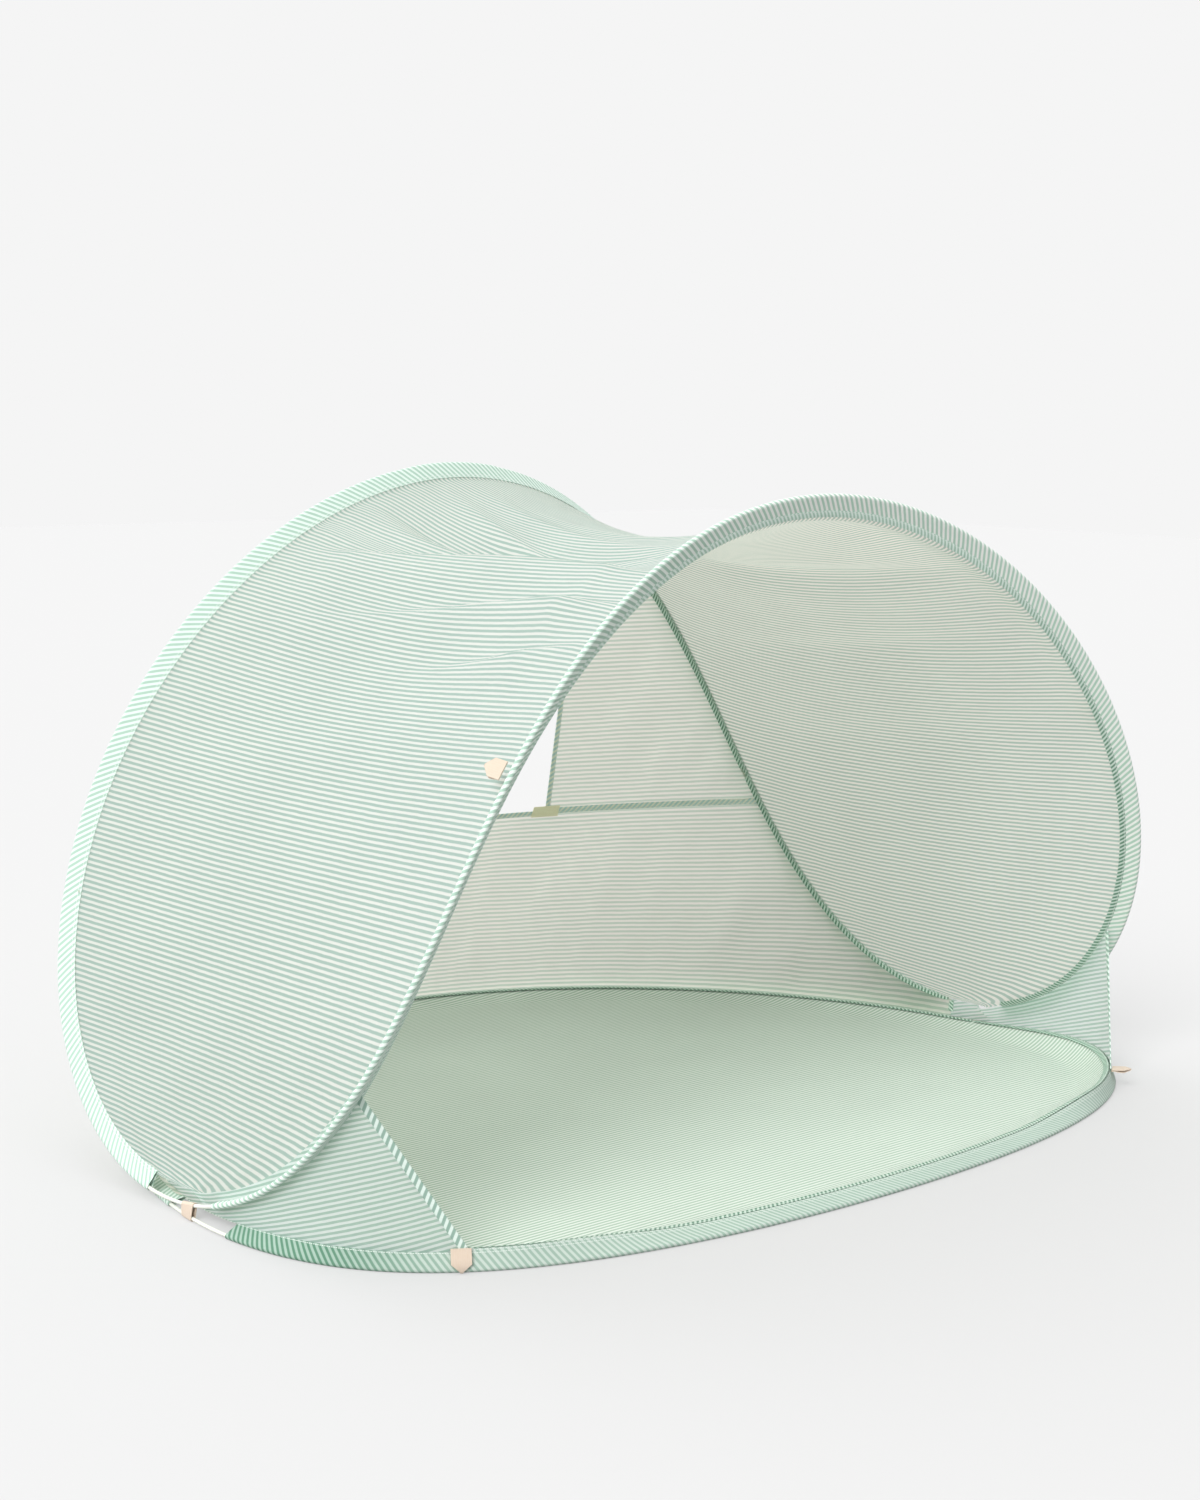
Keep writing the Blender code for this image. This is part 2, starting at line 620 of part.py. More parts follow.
for side_name, side in SIDES.items():
    edge = []
    edge_length = (side_at(1, 1) - side_at(1, 0)).length
    rise = (side_at(1, 1) - side_at(1, 0)) / edge_length
    for share in [HEM_ABOVE_FOOT / edge_length] + side_rows[1:-1] + [1 - HEM_WIDTH / edge_length]:
        off = side_at(1, share) - side_at(side_shares[-2], share)
        off = (off - rise * off.dot(rise)).normalized()
        normal = off.cross(rise).normalized()
        edge.append((on_side(side_at(1, share), side), on_side(off, side), on_side(normal, side)))
    edge_hem("side_wall_front_binding_" + side_name, edge, FOLD_AXIS)
    rise = (side_at(0, 1) - side_at(0, 0)).normalized()
    across = (side_at(SMALL_TURN, HALF_SHARE) - side_at(0, HALF_SHARE)).normalized()
    inside = across.cross(rise).normalized()
    if inside.x > 0:
        inside = -inside
    inside *= CLOTH * HALF_SHARE + 2 * CLEARANCE + TAPE * HALF_SHARE
    ends = (side_at(0, 0) + rise * TAPE_WIDTH, side_at(0, 1) - rise * TAPE_WIDTH * HALF_SHARE)
    points = [[on_side(place + inside + across * TAPE_WIDTH * way, side) for way in (-HALF_SHARE, HALF_SHARE)]
              for place in ends]
    cloth("side_seam_" + side_name, points, TAPE, DEEP_MINT)

# Window edges, cross seam tapes and the webbing patches under the window's lower corners.
tape_off = CLOTH * HALF_SHARE + 2 * CLEARANCE + TAPE * HALF_SHARE
patch_off = CLOTH * HALF_SHARE + 4 * CLEARANCE + WEBBING * HALF_SHARE
column_width = (rear_at(window_side + SMALL_TURN, CROSS_SEAM_HEIGHT)
                - rear_at(window_side, CROSS_SEAM_HEIGHT)).length / SMALL_TURN
hem_share = HEM_WIDTH / column_width
patch_share = PATCH_LENGTH * HALF_SHARE / column_width


def on_panel(u, drop):
    """Point of the lower rear wall's own facets, a little below its top edge."""
    spot = u * (REAR_FLOOR_STATIONS - 1)
    ends = []
    for k in (int(spot), int(spot) + 1):
        top = lower_point(column_shares[k], wall_rows[-1])
        below = lower_point(column_shares[k], wall_rows[-2])
        ends.append(top.lerp(below, drop / (top - below).length))
    return ends[0].lerp(ends[1], spot - int(spot))


for side_name, side in SIDES.items():
    edge = []
    up = (along_line(rear_heads, window_side) - along_line(rear_feet, window_side)).normalized()
    low = upper_height(window_side, 0) + HEM_WIDTH
    high = upper_height(window_side, WINDOW_TOP_SHARE) - HEM_WIDTH
    for height in (low, upper_height(window_side, WINDOW_TOP_SHARE * HALF_SHARE), high):
        normal = rear_normal(window_side - 2 * SMALL_TURN, height)
        off = up.cross(normal)
        if off.x > 0:
            off = -off
        edge.append((on_side(rear_at(window_side, height), side), on_side(off, side), on_side(normal, side)))
    edge_hem("window_side_binding_" + side_name, edge)
    points = []
    for u in columns_between(upper_share, window_side - hem_share):
        heights = [CROSS_SEAM_HEIGHT + CROSS_SEAM_WIDTH * way for way in (-HALF_SHARE, HALF_SHARE)]
        points.append([on_side(rear_at(u, height) + rear_normal(u, height) * tape_off, side)
                       for height in heights])
    cloth("cross_seam_" + side_name, points, TAPE, DEEP_MINT)
    points = []
    for u in columns_between(window_side - patch_share, window_side + patch_share):
        mirror_u = 1 - u if side else u
        off = rear_normal(mirror_u, CROSS_SEAM_HEIGHT) * patch_off
        points.append([on_panel(mirror_u, PATCH_DROP + HEM_WIDTH + drop) + off for drop in (0, WEBBING_WIDTH)])
    cloth("window_corner_tab_" + side_name, points, WEBBING, KHAKI)

sill = []
for u in columns_between(window_side + hem_share, hidden_side - hem_share):
    up = (along_line(rear_heads, u) - along_line(rear_feet, u)).normalized()
    sill.append((lower_point(u, 1), up, rear_normal(u, CROSS_SEAM_HEIGHT)))
edge_hem("window_sill_hem", sill)
lintel = []
for u in columns_between(window_side + SMALL_TURN, hidden_side - SMALL_TURN):
    height = upper_height(u, WINDOW_TOP_SHARE)
    down = (along_line(rear_feet, u) - along_line(rear_heads, u)).normalized()
    lintel.append((rear_at(u, height), down, rear_normal(u, height)))
edge_hem("window_top_binding", lintel)


# Webbing: the ties that hold both hoops together, the peg loops and the tabs on the front arch.

def tie_section(depth):
    """Closed line of the tie round both rods at one depth."""
    low = floor_rod(angle_at(lambda t: floor_rod(t).y, depth, -FLOOR_REAR_START, FLOOR_REAR_START))
    high = canopy_rod(angle_at(lambda t: canopy_rod(t).y, depth, -FLOOR_REAR_START, FLOOR_REAR_START))
    radius = ROD_RADIUS + CLEARANCE + WEBBING * HALF_SHARE
    over = [high + Vector((cos(turn), 0, sin(turn))) * radius for turn in spread(0, pi, TIE_POINTS)]
    under = [low + Vector((cos(turn), 0, sin(turn))) * radius for turn in spread(pi, 2 * pi, TIE_POINTS)]
    return over + under + over[:1]


def webbing_tab(name, root, reach_way, across_way):
    """Loop of webbing pressed flat, folded to a point at its far end and free to turn at its root."""
    layer = (TAB_INNER_GAP + WEBBING) * HALF_SHARE
    face = reach_way.cross(across_way)
    half = WEBBING_WIDTH * HALF_SHARE
    tip = TAB_TIP_WIDTH * HALF_SHARE
    path = ((-TAB_ROOT_BACK, layer, half), (TAB_SHOULDER, layer, half), (TAB_REACH, layer, tip),
            (TAB_REACH + layer, 0, tip), (TAB_REACH, -layer, tip), (TAB_SHOULDER, -layer, half),
            (-TAB_ROOT_BACK, -layer, half))
    points = [[root + reach_way * run + face * rise + across_way * width * way for way in (-1, 0, 1)]
              for run, rise, width in path]
    cloth(name, points, WEBBING, PEACH, origin=root)


loop_rise = WALL_OVER + CLOTH * HALF_SHARE + 2 * CLEARANCE + TAB_HALF
hang_rise = SLEEVE_MID_RADIUS + CLOTH * HALF_SHARE + 2 * CLEARANCE + TAB_HALF
loop_angle = FLOOR_FRONT[GUSSET_FLOOR_STATION - 1]
tab_angle = FRONT_ARCH[HOOP_TAB_STATION]


for side_name, side in SIDES.items():
    points = [[on_side(place, side) for place in tie_section(depth)]
              for depth in spread(-WEBBING_WIDTH * HALF_SHARE, WEBBING_WIDTH * HALF_SHARE, TIE_ROWS)]
    cloth("corner_tie_" + side_name, points, WEBBING, PEACH, ring=True)

    root = floor_seam(loop_angle, BAND_WIDTH, loop_rise)
    hang = (floor_seam(loop_angle, 0, hang_rise) - root).normalized()
    along = tangent(floor_rod, loop_angle)
    hang = (hang - along * hang.dot(along)).normalized()
    out = hang.cross(along)
    if out.y > 0:
        out = -out
    lift = 0 if side else TAB_LIFT_RIGHT
    reach_way = hang * cos(lift) + out * sin(lift)
    webbing_tab("peg_loop_" + side_name, on_side(root, side), on_side(reach_way, side), on_side(along, side))

    root = canopy_seam(tab_angle, BAND_WIDTH, TAB_ROOT_RISE)
    along = tangent(canopy_rod, tab_angle)
    over = (canopy_seam(tab_angle, BAND_WIDTH, 0) - canopy_seam(tab_angle, 0, 0)).normalized()
    out = over.cross(along)
    reach_way = over * cos(TAB_LIFT_ON_ARCH) + out * sin(TAB_LIFT_ON_ARCH)
    webbing_tab("hoop_tab_" + side_name, on_side(root, side), on_side(reach_way, side), on_side(along, side))
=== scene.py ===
# %% [markdown]
# A low beach tent made of striped cloth. Two springy rods, each bent into a closed hoop, hold it open.
# One hoop lies on the ground round the floor sheet, the other is bent over it like a saddle, and a short
# loop of webbing ties them together at both corners. Everything else is thin cloth sewn to the rods.
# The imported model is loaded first: it gives the size, the moving bodies and the rods themselves.

from math import acos, atan2, cos, exp, hypot, pi, radians, sin

import bmesh
import bpy
import numpy as np
from mathutils import Matrix, Vector, noise


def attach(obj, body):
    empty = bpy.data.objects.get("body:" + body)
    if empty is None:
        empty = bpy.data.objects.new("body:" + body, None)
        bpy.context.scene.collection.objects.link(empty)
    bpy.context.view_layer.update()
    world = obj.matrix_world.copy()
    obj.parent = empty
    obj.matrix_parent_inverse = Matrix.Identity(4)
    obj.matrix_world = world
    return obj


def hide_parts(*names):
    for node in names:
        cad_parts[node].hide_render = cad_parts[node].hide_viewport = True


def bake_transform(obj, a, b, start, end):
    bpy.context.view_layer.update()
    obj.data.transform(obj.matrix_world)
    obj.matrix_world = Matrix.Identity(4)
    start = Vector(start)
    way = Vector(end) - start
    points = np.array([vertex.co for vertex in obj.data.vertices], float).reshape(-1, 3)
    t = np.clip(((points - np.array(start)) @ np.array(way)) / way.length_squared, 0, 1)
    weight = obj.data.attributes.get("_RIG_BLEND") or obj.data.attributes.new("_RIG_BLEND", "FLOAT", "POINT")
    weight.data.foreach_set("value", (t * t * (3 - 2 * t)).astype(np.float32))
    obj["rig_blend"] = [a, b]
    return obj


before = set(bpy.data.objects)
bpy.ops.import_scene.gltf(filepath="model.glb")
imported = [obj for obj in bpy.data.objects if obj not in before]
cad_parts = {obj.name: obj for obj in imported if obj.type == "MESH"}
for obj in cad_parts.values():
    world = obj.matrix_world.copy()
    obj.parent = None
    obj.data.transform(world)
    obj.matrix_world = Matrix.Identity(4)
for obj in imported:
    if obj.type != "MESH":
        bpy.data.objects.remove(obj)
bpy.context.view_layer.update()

# %% [markdown]
# The camera stands in front of the tent and to its left, about one metre above the ground. Its direction
# comes from the two corners and the tops of both arches. It is then slid in its own picture plane, without
# being turned, until the tent has its place in the tall picture.

# %% Camera
CAMERA_TURN = -0.73658
CAMERA_TILT = 0.14137
CAMERA_ROLL = 0.01599
CAMERA_DISTANCE = 3.662
LENS_IN_PIXELS = 2500
FRAME_WIDTH = 1200
FRAME_HEIGHT = 1500
SENSOR_MM = 36
AIM_ACROSS = 642.71
AIM_DOWN = 1108.40
HALF = 0.5


def new_object(name, data):
    """Object in the scene that holds the given camera, lamp or mesh."""
    made = bpy.data.objects.new(name, data)
    bpy.context.scene.collection.objects.link(made)
    return made


away = Vector((sin(CAMERA_TURN) * cos(CAMERA_TILT), -cos(CAMERA_TURN) * cos(CAMERA_TILT), sin(CAMERA_TILT)))
sideways = Vector((cos(CAMERA_TURN), sin(CAMERA_TURN), 0))
above = away.cross(sideways)
picture_right = sideways * cos(CAMERA_ROLL) + above * sin(CAMERA_ROLL)
picture_up = above * cos(CAMERA_ROLL) - sideways * sin(CAMERA_ROLL)
slide_right = (AIM_ACROSS - FRAME_WIDTH * HALF) / LENS_IN_PIXELS * CAMERA_DISTANCE
slide_up = (FRAME_HEIGHT * HALF - AIM_DOWN) / LENS_IN_PIXELS * CAMERA_DISTANCE
lens = bpy.data.cameras.new("camera")
lens.sensor_width = SENSOR_MM
lens.lens = SENSOR_MM * LENS_IN_PIXELS / FRAME_HEIGHT
camera = new_object("camera", lens)
stand = away * CAMERA_DISTANCE - picture_right * slide_right - picture_up * slide_up
axes = Matrix((picture_right, picture_up, away)).transposed()
camera.matrix_world = Matrix.Translation(stand) @ axes.to_4x4()
bpy.context.scene.camera = camera
print("camera height", round(stand.z, 3), "m, lens", round(lens.lens, 1), "mm")

# %% [markdown]
# Light and surfaces are made of shader nodes, which a script can add as well as a hand can. All nodes of one
# material, or of the world, form a tree. A Signal here is one number on its way through such a tree. Adding
# to it or multiplying it makes the node for that sum, so the recipes further down read like arithmetic.

# %% Shader nodes
class Signal:
    """One number, or one place on the cloth, in a node tree."""

    def __init__(self, tree, socket):
        self.tree = tree
        self.socket = socket

    def math(self, operation, other=0.0):
        made = add_node(self.tree, "ShaderNodeMath", {0: self, 1: other}, operation=operation)
        return Signal(self.tree, made.outputs[0])

    def __add__(self, other):
        return self.math("ADD", other)

    def __mul__(self, other):
        return self.math("MULTIPLY", other)

    def carried(self, low, high, start=0.0, end=1.0, curve="SMOOTHSTEP"):
        """Carries the range from low to high over to the range from start to end."""
        made = add_node(self.tree, "ShaderNodeMapRange",
                        {"Value": self, "From Min": low, "From Max": high, "To Min": start, "To Max": end},
                        interpolation_type=curve)
        return Signal(self.tree, made.outputs["Result"])


def add_node(tree, kind, inputs=(), **settings):
    """One shader node. inputs pairs a socket's name or number with a value, colour, signal or output."""
    made = tree.nodes.new(kind)
    for key, value in settings.items():
        setattr(made, key, value)
    for key, value in dict(inputs).items():
        if isinstance(value, Signal):
            value = value.socket
        if isinstance(value, bpy.types.NodeSocket):
            tree.links.new(value, made.inputs[key])
        elif made.inputs[key].type == "RGBA":
            made.inputs[key].default_value = (*value, 1)
        else:
            made.inputs[key].default_value = value
    return made


def empty_tree(owner):
    """Node tree of a new material or world, cleared."""
    owner.use_nodes = True
    owner.node_tree.nodes.clear()
    return owner.node_tree


def mix_shaders(tree, share, first, second):
    return add_node(tree, "ShaderNodeMixShader", {0: share, 1: first.outputs[0], 2: second.outputs[0]})


def show(tree, shader, kind="ShaderNodeOutputMaterial"):
    add_node(tree, kind, {"Surface": shader.outputs[0]})


# %% [markdown]
# The picture has a plain pale background and very soft light. A sun lamp with a wide angle shines from high
# on the left, as strong at one place as at another, so the ground stays even. The sky is brighter overhead
# than at the horizon, and brighter behind the tent than in front, because much of the light inside the real
# tent comes through its cloth. The camera doesn't see that sky, only one pale colour.

# %% Sky and sun
BACKGROUND = (0.913, 0.913, 0.913)
ZENITH_LEVEL = 1.05
HORIZON_LEVEL = 0.44
BACK_LEVEL = 1.65
SUN_LEVEL = 2.16
SUN_SPREAD = radians(32)
SUN_FROM = Vector((-0.98, -0.42, 0.80))

scene = bpy.context.scene
scene.view_settings.view_transform = "Standard"
world = bpy.data.worlds.new("studio")
scene.world = world
tree = empty_tree(world)
rays = add_node(tree, "ShaderNodeLightPath").outputs
plain = Signal(tree, rays["Is Camera Ray"]).math("MAXIMUM", rays["Is Glossy Ray"])
plain = plain.math("MAXIMUM", rays["Is Transmission Ray"])
direction = add_node(tree, "ShaderNodeTexCoord").outputs["Generated"]
heading = add_node(tree, "ShaderNodeSeparateXYZ", {0: direction})
overhead = Signal(tree, heading.outputs[2]).carried(0.0, 1.0, HORIZON_LEVEL, ZENITH_LEVEL, "LINEAR")
from_behind = Signal(tree, heading.outputs[1]).carried(0.0, 1.0, 0.0, BACK_LEVEL, "LINEAR")
soft_light = add_node(tree, "ShaderNodeBackground", {"Color": (1, 1, 1), "Strength": overhead + from_behind})
backdrop = add_node(tree, "ShaderNodeBackground", {"Color": BACKGROUND, "Strength": 1})
show(tree, mix_shaders(tree, plain, soft_light, backdrop), "ShaderNodeOutputWorld")

sun = bpy.data.lights.new("sun", "SUN")
sun.energy = SUN_LEVEL
sun.angle = SUN_SPREAD
sun_lamp = new_object("sun", sun)
sun_lamp.rotation_euler = SUN_FROM.to_track_quat("Z", "Y").to_euler()
print("light: sky", ZENITH_LEVEL, "overhead, sun", SUN_LEVEL)

# %% [markdown]
# The ground is one large flat sheet. To the camera it is partly a plain glow in the background's colour, so
# that it fades into the background, and partly a dull grey that keeps the tent's soft shadow. To the tent it
# is a little darker, so that not too much light is thrown up at the cloth from below.

# %% Ground
GROUND_SIZE = 14
GROUND_COLOUR = 0.580
GROUND_BOUNCE = 0.38
GROUND_GLOW_SHARE = 0.47

ground_finish = bpy.data.materials.new("ground")
tree = empty_tree(ground_finish)
seen = Signal(tree, add_node(tree, "ShaderNodeLightPath").outputs["Is Camera Ray"])
grey = add_node(tree, "ShaderNodeMix", {0: seen, 2: GROUND_BOUNCE, 3: GROUND_COLOUR})
matt = add_node(tree, "ShaderNodeBsdfDiffuse", {"Color": grey.outputs[0]})
glow = add_node(tree, "ShaderNodeEmission", {"Color": BACKGROUND, "Strength": 1})
show(tree, mix_shaders(tree, seen * GROUND_GLOW_SHARE, matt, glow))
mesh = bmesh.new()
bmesh.ops.create_grid(mesh, x_segments=2, y_segments=2, size=GROUND_SIZE)
data = bpy.data.meshes.new("ground")
mesh.to_mesh(data)
mesh.free()
data.materials.append(ground_finish)
ground = new_object("ground", data)
print("ground:", 2 * GROUND_SIZE, "m wide")

# %% [markdown]
# The cloth is a light plain weave with even woven stripes, white and pale green, each about 4 mm wide. The
# stripes could be painted as a picture, but a picture stretches. Here they are worked out from the cloth's
# own flat coordinates in metres, so they follow every bend and have the true size.

# %% Stripes, threads and stitches
STRIPE_PITCH = 0.0075
STRIPE_SOFTNESS = 0.16
WOBBLE_SCALE = (60, 60)
WOBBLE_SHARE = 0.10
THREAD_PITCH = 0.0006
STITCH_LENGTH = 0.0032
STITCH_GAP_START = 0.10
STITCH_GAP_END = 0.16
STITCH_WIDTH = 0.0006
STITCH_CORE = 0.4
EVEN_DETAIL = 2.0
ROUGH_DETAIL = 3.0


def mix_colour(tree, share, first, second, blend="MIX"):
    return add_node(tree, "ShaderNodeMix", {0: share, 6: first, 7: second}, data_type="RGBA",
                    blend_type=blend).outputs[2]


def cloth_places(tree):
    """The flat cloth's coordinates in metres: as one place, the part along it and the part across it."""
    flat = add_node(tree, "ShaderNodeUVMap", uv_map="cut").outputs["UV"]
    parts = add_node(tree, "ShaderNodeSeparateXYZ", {0: flat}).outputs
    return Signal(tree, flat), Signal(tree, parts[0]), Signal(tree, parts[1])


def stretched_noise(flat, scale, detail=EVEN_DETAIL):
    """Noise over the flat cloth, with its own scale along and across."""
    spot = add_node(flat.tree, "ShaderNodeMapping", {"Vector": flat, "Scale": (*scale, 1)})
    made = add_node(flat.tree, "ShaderNodeTexNoise",
                    {"Vector": spot.outputs[0], "Scale": 1.0, "Detail": detail}, noise_dimensions="2D")
    return Signal(flat.tree, made.outputs["Fac"])


def stripes(flat, u, v, way, pitch):
    """Soft-edged bands, 0 to 1, across the direction way on the flat cloth."""
    wobble = stretched_noise(flat, WOBBLE_SCALE)
    run = u * (way[0] / pitch) + v * (way[1] / pitch) + wobble * WOBBLE_SHARE
    wave = run.math("PINGPONG", HALF) * 2
    return wave.carried(HALF - STRIPE_SOFTNESS, HALF + STRIPE_SOFTNESS)


def weave(u, v):
    """Over and under threads as a height, -1 to 1."""
    over = (u * (2 * pi / THREAD_PITCH)).math("SINE")
    under = (v * (2 * pi / THREAD_PITCH)).math("SINE")
    return over * under


def stitch_lines(u, v, rows):
    """Dashes along u in rows at given places across v: 1 on the thread, 0 beside it."""
    dash = u.math("PINGPONG", STITCH_LENGTH * HALF)
    dash = dash.carried(STITCH_LENGTH * STITCH_GAP_START, STITCH_LENGTH * STITCH_GAP_END)
    total = None
    for row in rows:
        off = v.math("SUBTRACT", row).math("ABSOLUTE")
        line = dash * off.carried(STITCH_WIDTH * STITCH_CORE, STITCH_WIDTH, 1.0, 0.0)
        total = total.math("MAXIMUM", line) if total else line
    return total


print("stripe pitch", STRIPE_PITCH, "m")

# %% [markdown]
# Thin cloth lets light through, so each cloth finish mixes a plain surface with a translucent one. Faint
# yarn streaks and patches vary its colour, and the weave and small puckers give it a fine height. The same
# recipe serves every cloth of the tent: only the colours, the way of the stripes and the sewing differ.

# %% Cloth finish
CLOTH_ROUGHNESS = 0.77
YARN_ROUGHNESS = 0.1
CLOTH_GLOSS = 0.25
CLOTH_SHEEN = 0.12
SHEEN_ROUGHNESS = 0.5
GRAIN = 0.06
YARN_STREAK_LENGTHS = 45
YARN_STREAK_WIDTHS = 900
BLOTCH_SCALE = (5, 7)
PUCKER_SCALE = 70
PUCKER_STRETCH = 160
BUMP_STRENGTH = 0.6
WEAVE_HEIGHT = 0.00006
PUCKER_HEIGHT = 0.00035
SEWING_THREAD = (0.78, 0.86, 0.80)
ALONG = (1, 0)
ACROSS = (0, 1)


def cloth_finish(name, light, dark, way, see_through, pitch=STRIPE_PITCH, glow_colour=(1, 1, 1), rows=(),
                 beyond=None):
    """Striped cloth. way points across the stripes. beyond gives a start and an end along the cloth, and the
    two colours that the stripes have changed to at that end."""
    made = bpy.data.materials.new(name)
    tree = empty_tree(made)
    flat, u, v = cloth_places(tree)
    band = stripes(flat, u, v, way, pitch)
    colour = mix_colour(tree, band, light, dark)
    if beyond:
        start, end, far_light, far_dark = beyond
        colour = mix_colour(tree, u.carried(start, end), colour, mix_colour(tree, band, far_light, far_dark))
    lean = (abs(way[0]), abs(way[1]))
    yarn = stretched_noise(flat, (way[1] * YARN_STREAK_LENGTHS + YARN_STREAK_WIDTHS * lean[0],
                                  way[0] * YARN_STREAK_LENGTHS + YARN_STREAK_WIDTHS * lean[1]))
    shade = yarn * GRAIN + stretched_noise(flat, BLOTCH_SCALE, ROUGH_DETAIL) * GRAIN + (1 - GRAIN)
    grey = add_node(tree, "ShaderNodeCombineColor", {0: shade, 1: shade, 2: shade}).outputs[0]
    colour = mix_colour(tree, 1.0, colour, grey, "MULTIPLY")
    pucker = stretched_noise(flat, [PUCKER_SCALE + PUCKER_STRETCH * share for share in lean])
    height = weave(u, v) * WEAVE_HEIGHT + pucker * PUCKER_HEIGHT
    if rows:
        sewn = stitch_lines(u, v, rows)
        colour = mix_colour(tree, sewn, colour, SEWING_THREAD)
        height = height + sewn * PUCKER_HEIGHT
    bump = add_node(tree, "ShaderNodeBump", {"Strength": BUMP_STRENGTH, "Distance": 1.0, "Height": height})
    face = add_node(tree, "ShaderNodeBsdfPrincipled",
                    {"Base Color": colour, "Roughness": yarn * YARN_ROUGHNESS + CLOTH_ROUGHNESS,
                     "Normal": bump.outputs[0], "Specular IOR Level": CLOTH_GLOSS,
                     "Sheen Weight": CLOTH_SHEEN, "Sheen Roughness": SHEEN_ROUGHNESS})
    through = mix_colour(tree, 1.0, colour, glow_colour, "MULTIPLY")
    back = add_node(tree, "ShaderNodeBsdfTranslucent", {"Color": through, "Normal": bump.outputs[0]})
    show(tree, mix_shaders(tree, see_through, face, back))
    return made


print("weave height", WEAVE_HEIGHT * 1000, "mm")

# %% [markdown]
# The four kinds of sheet differ in how much light they let through and in the colour of that light. The
# canopy glows warm from inside, the walls are almost as bright as the light behind them, and the floor, which
# lies on the ground, hardly lets any light through. The rear walls' stripes are also drawn paler than the
# canopy's, which is painted light for the light that shines through them.

# %% Sheet finishes
WHITE_YARN = (0.90, 0.965, 0.975)
MINT_YARN = (0.485, 0.66, 0.63)
WARM_GLOW = (1.0, 0.86, 0.75)
WALL_GLOW = (1.0, 0.965, 0.905)
# Painted light: the rear walls' stripes are paler than the canopy's, for the light that shines through them.
WALL_WHITE = (0.99, 0.99, 0.965)
WALL_MINT = (0.66, 0.77, 0.70)
SIDE_WALL_MINT = (0.52, 0.69, 0.63)
FLOOR_WHITE = (0.87, 0.94, 0.87)
FLOOR_MINT = (0.49, 0.64, 0.52)
SIDE_PITCH = 0.0065

canopy_weave = cloth_finish("canopy_weave", WHITE_YARN, MINT_YARN, ALONG, see_through=0.61,
                            glow_colour=WARM_GLOW)
# The rear walls carry the paler, painted-light colours.
wall_weave = cloth_finish("wall_weave", WALL_WHITE, WALL_MINT, ACROSS, see_through=0.80,
                          glow_colour=WALL_GLOW)
side_weave = cloth_finish("side_weave", WHITE_YARN, SIDE_WALL_MINT, ACROSS, see_through=0.62,
                          pitch=SIDE_PITCH, glow_colour=WALL_GLOW)
floor_weave = cloth_finish("floor_weave", FLOOR_WHITE, FLOOR_MINT, ACROSS, see_through=0.15)
print("sheet finishes:", canopy_weave.name, wall_weave.name, side_weave.name, floor_weave.name)

# %% [markdown]
# The narrow bands that hold the rods are cut on the bias, so their stripes run at a slant. The tapes that
# bind the seams are narrower and darker, because two layers of the green lie on each other, and their
# slanting stripes look like a twisted cord. Some change their colour on their way round the tent. The front
# arch's tape does so as the real one does. The front arch's band is drawn paler except at its left end, which
# is painted light where that band lies in shade. The floor's front band is drawn darker than the others, and
# darkest at its left end, which is painted shade: that band lies low and turned away from the light. Where
# the seam shows, a row of light thread is drawn on them.

# %% Bias bands and tapes
BAND_WIDTH = 0.024
SLANT = (cos(radians(38)), sin(radians(38)))
CROSS_SLANT = (cos(radians(38)), -sin(radians(38)))
TAPE_SLANT = (cos(radians(35)), sin(radians(35)))
BAND_ROWS = (0.0015, 0.005)
TAPE_ROWS = (0.0016,)
HEM_ROWS = (0.002,)
FLOOR_BAND_PITCH = 0.0068
TAPE_PITCH = 0.0058
SIDE_TAPE_PITCH = 0.0080

# Where along a band or tape, in metres, its colour starts and ends to change.
# On the front arch's band this change is where painted light ends: before it the band is drawn paler, as it
# lies in shade.
ARCH_LIGHT_CHANGE = (1.40, 1.85)
# On the floor's front band this change is painted shade: from here its left end is drawn deep green.
FLOOR_SHADE_CHANGE = (1.62, 1.82)
TAPE_CHANGE = (0.45, 1.25)

BAND_WHITE = (0.80, 0.92, 0.85)
BAND_MINT = (0.45, 0.64, 0.53)
SIDE_MINT = (0.32, 0.48, 0.40)
# Painted light: the front arch's band is drawn paler than the others where it lies in shade.
BAND_PAINTED_LIGHT_WHITE = (0.97, 0.99, 0.95)
BAND_PAINTED_LIGHT_MINT = (0.50, 0.69, 0.58)
LEFT_BAND_WHITE = (0.88, 0.96, 0.90)
LEFT_BAND_MINT = (0.44, 0.63, 0.52)
# Painted shade: the floor band's colours are darker than the arch bands', for a band that lies low in shade.
LOW_BAND_WHITE = (0.63, 0.73, 0.66)
LOW_BAND_MINT = (0.38, 0.53, 0.44)
DEEP_MINT = (0.12, 0.27, 0.18)
SEAM_MINT = (0.62, 0.76, 0.66)
WARM_YARN = (0.80, 0.83, 0.70)

band_outside = cloth_finish("band_outside", BAND_WHITE, BAND_MINT, CROSS_SLANT, see_through=0.12,
                            rows=BAND_ROWS)
# Painted light on the front arch's band, up to its left end.
band_painted_light = cloth_finish("band_painted_light", BAND_PAINTED_LIGHT_WHITE, BAND_PAINTED_LIGHT_MINT, SLANT, see_through=0.12,
                           beyond=(*ARCH_LIGHT_CHANGE, LEFT_BAND_WHITE, LEFT_BAND_MINT))
